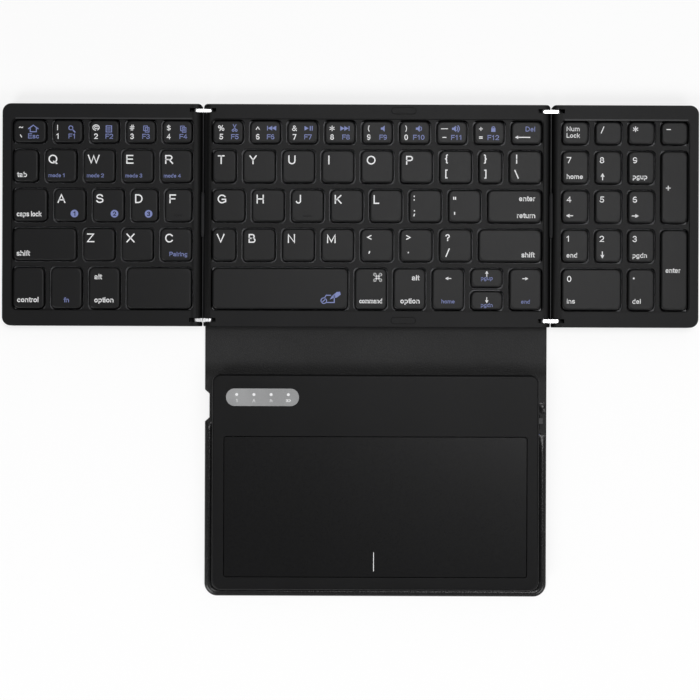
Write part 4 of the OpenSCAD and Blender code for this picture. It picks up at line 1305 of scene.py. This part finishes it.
# Painted shade: a dark shape for the recess of the slide switch, and a dark outline for the small
# reset slot in front of it with its blue line
RECESS = (bezel_high.x - 0.1, knob_low.y - 1.6, bezel_high.x + 1.1, knob_high.y + 0.6)
RESET = (bezel_high.x - 0.6, knob_low.y - 4.2, bezel_high.x + 1.6, knob_low.y - 3.4)
recess = Print(COVER_T)
recess.shape(outline(*RECESS, 0.4), DARK_INK_AND_SHADE)
recess.line(outline(*RESET, 0.3), 0.3, DARK_INK_AND_SHADE, closed=True)
reset_y = (RESET[1] + RESET[3]) / 2
recess.line([(RESET[0] + 0.6, reset_y), (RESET[2] - 0.6, reset_y)], 0.25, BLUE_INK)
recess.piece("knob_recess", "touchpad", "cover")


# ---- Hinge bars and cable sleeves in the hinge gaps ----

cable_low, cable_high = cad_box("flex_cables")
BEAD_R, SLEEVE_DIP, SLEEVE_STEPS = 0.9, 2.6, 18
GAP_X = {"left_link": (left_edge + near_edge) / 2, "right_link": (right_edge + far_edge) / 2}


def cable_sleeve(name, x, side):
    """Half of the flat cable's fold in the gap: a soft ridge that dips into the gap below."""
    bm = bmesh.new()
    top = cable_high.z
    profile = [(0, -SLEEVE_DIP), (0, 0)]
    for i in range(1, 6):
        a = math.radians(90 - 25 * i)
        profile.append((side * BEAD_R * math.cos(a), BEAD_R * math.sin(a) - BEAD_R))
    profile.append((side * 0.12, -SLEEVE_DIP))
    rings = []
    for i in range(SLEEVE_STEPS + 1):
        y = cable_low.y + (cable_high.y - cable_low.y) * i / SLEEVE_STEPS
        shrink = {0: 0.72, 1: 0.94}.get(min(i, SLEEVE_STEPS - i), 1.0)
        rings.append([bm.verts.new((x + px * shrink, y, top + pz - (1 - shrink) * 0.5))
                      for px, pz in profile])
    solid(bm, rings)
    return finish_mesh(bm, name, [SLEEVE], 40)


# The thin bar that joins a hinge's two link plates, low in the groove between the panels
BAR_PROFILE = [(-0.3, 2.7), (0.3, 2.7), (0.3, 3.0), (0.17, 3.3), (0.17, 5.3), (0.1, 5.4),
               (-0.1, 5.4), (-0.17, 5.3), (-0.17, 3.3), (-0.3, 3.0)]
links_low, links_high = cad_box("left_links")
BAR_END = 1.45
for body, x in GAP_X.items():
    bm = bmesh.new()
    solid(bm, [[bm.verts.new((x + px, y, pz)) for px, pz in BAR_PROFILE]
               for y in (links_low.y + BAR_END, links_high.y - BAR_END)])
    place(finish_mesh(bm, body + "_bar", [PLASTIC_AND_HIGHLIGHT], 30), body, "link_metal")
    outward = -1 if body == "left_link" else 1
    for half, side, joint in (("inner", -outward, body),
                              ("outer", outward, body.replace("link", "panel"))):
        sleeve = place(cable_sleeve(body + "_cable_" + half, x, side), body, "cable",
                       ["flex_cables"])
        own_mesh(sleeve)


# ---- Floor, light and camera ----

# The floor's glow rises to 1 between these distances from the object, so that it has no horizon
FLOOR_GLOW, GLOW_NEAR, GLOW_FAR = 0.7, 0.3, 1.0
SKY_LOW, SKY_HIGH = 0.4, 0.11


def white_ground():
    """A floor that is white to the eye, mostly by its own glow, and keeps the soft shadow."""
    mesh = bpy.data.meshes.new("floor")
    half = 3.0
    mesh.from_pydata([(-half, -half, 0), (half, -half, 0), (half, half, 0), (-half, half, 0)],
                     [], [(0, 1, 2, 3)])
    floor = bpy.data.objects.new("floor", mesh)
    floor.location.z = -0.0001
    bpy.context.scene.collection.objects.link(floor)
    shader = Shader("floor", (0.9, 0.9, 0.9), 1.0, specular=0.0)
    glow = shader.node("ShaderNodeEmission", {"Color": (1, 1, 1, 1), "Strength": 1.0})
    rays = shader.node("ShaderNodeLightPath")
    spot = shader.node("ShaderNodeTexCoord").outputs["Object"]
    reach = shader.node("ShaderNodeVectorMath", {0: spot}, operation="LENGTH").outputs["Value"]
    level = shader.node("ShaderNodeMapRange", {
        "Value": reach, "From Min": GLOW_NEAR, "From Max": GLOW_FAR,
        "To Min": FLOOR_GLOW, "To Max": 1.0}).outputs["Result"]
    share = shader.node("ShaderNodeMath", {0: rays.outputs["Is Camera Ray"], 1: level},
                        operation="MULTIPLY").outputs[0]
    both = shader.node("ShaderNodeMixShader", {
        0: share, 1: shader.bsdf.outputs["BSDF"], 2: glow.outputs["Emission"]})
    feed(shader.tree, shader.tree.nodes["Material Output"], {"Surface": both.outputs["Shader"]})
    mesh.materials.append(shader.material)


def softbox(name, location, size, power):
    """A rectangular light that looks at the middle of the object."""
    light = bpy.data.lights.new(name, "AREA")
    light.shape = "RECTANGLE"
    light.size, light.size_y = size
    light.energy = power
    lamp = bpy.data.objects.new(name, light)
    lamp.location = location
    lamp.rotation_euler = (-Vector(location)).to_track_quat("-Z", "Y").to_euler()
    bpy.context.scene.collection.objects.link(lamp)


def studio_sky():
    """Soft light from all round, darker overhead, and white to the eye."""
    world = bpy.data.worlds.new("studio")
    world.use_nodes = True
    tree = world.node_tree
    spot = add_node(tree, "ShaderNodeTexCoord").outputs["Generated"]
    height = add_node(tree, "ShaderNodeSeparateXYZ", {"Vector": spot}).outputs["Z"]
    level = add_node(tree, "ShaderNodeMapRange", {
        "Value": height, "To Min": SKY_LOW, "To Max": SKY_HIGH}).outputs["Result"]
    rays = add_node(tree, "ShaderNodeLightPath").outputs["Is Camera Ray"]
    seen = add_node(tree, "ShaderNodeMath", {0: level, 1: rays}, operation="MAXIMUM")
    feed(tree, tree.nodes["Background"], {"Strength": seen.outputs[0], "Color": (1, 1, 1, 1)})
    bpy.context.scene.world = world


white_ground()
studio_sky()
softbox("front_left_light", (-0.75, -0.75, 0.85), (0.55, 0.55), 8.0)
softbox("front_right_light", (0.75, -0.75, 0.85), (0.55, 0.55), 5.0)
softbox("back_light", (0.45, 0.62, 1.0), (0.7, 0.7), 1.2)
softbox("top_light", (0.18, 0.24, 1.25), (0.7, 0.3), 6.6)

# The camera stands over the object so that the key tops have the photograph's scale
PIXELS_PER_MM, IMAGE = 2.185, 700
DISTANCE, KEY_PLANE, CAMERA_Y = 0.68, 6.9 * MM, 0.6 * MM
SENSOR, ROLL = 36.0, 0.2
camera_data = bpy.data.cameras.new("camera")
camera = bpy.data.objects.new("camera", camera_data)
bpy.context.scene.collection.objects.link(camera)
camera.location = (0, CAMERA_Y, KEY_PLANE + DISTANCE)
camera.rotation_euler = (0, 0, math.radians(ROLL))
camera_data.sensor_width = SENSOR
camera_data.lens = SENSOR * DISTANCE / (IMAGE / PIXELS_PER_MM * MM)
bpy.context.scene.camera = camera
bpy.context.scene.view_settings.view_transform = "Standard"
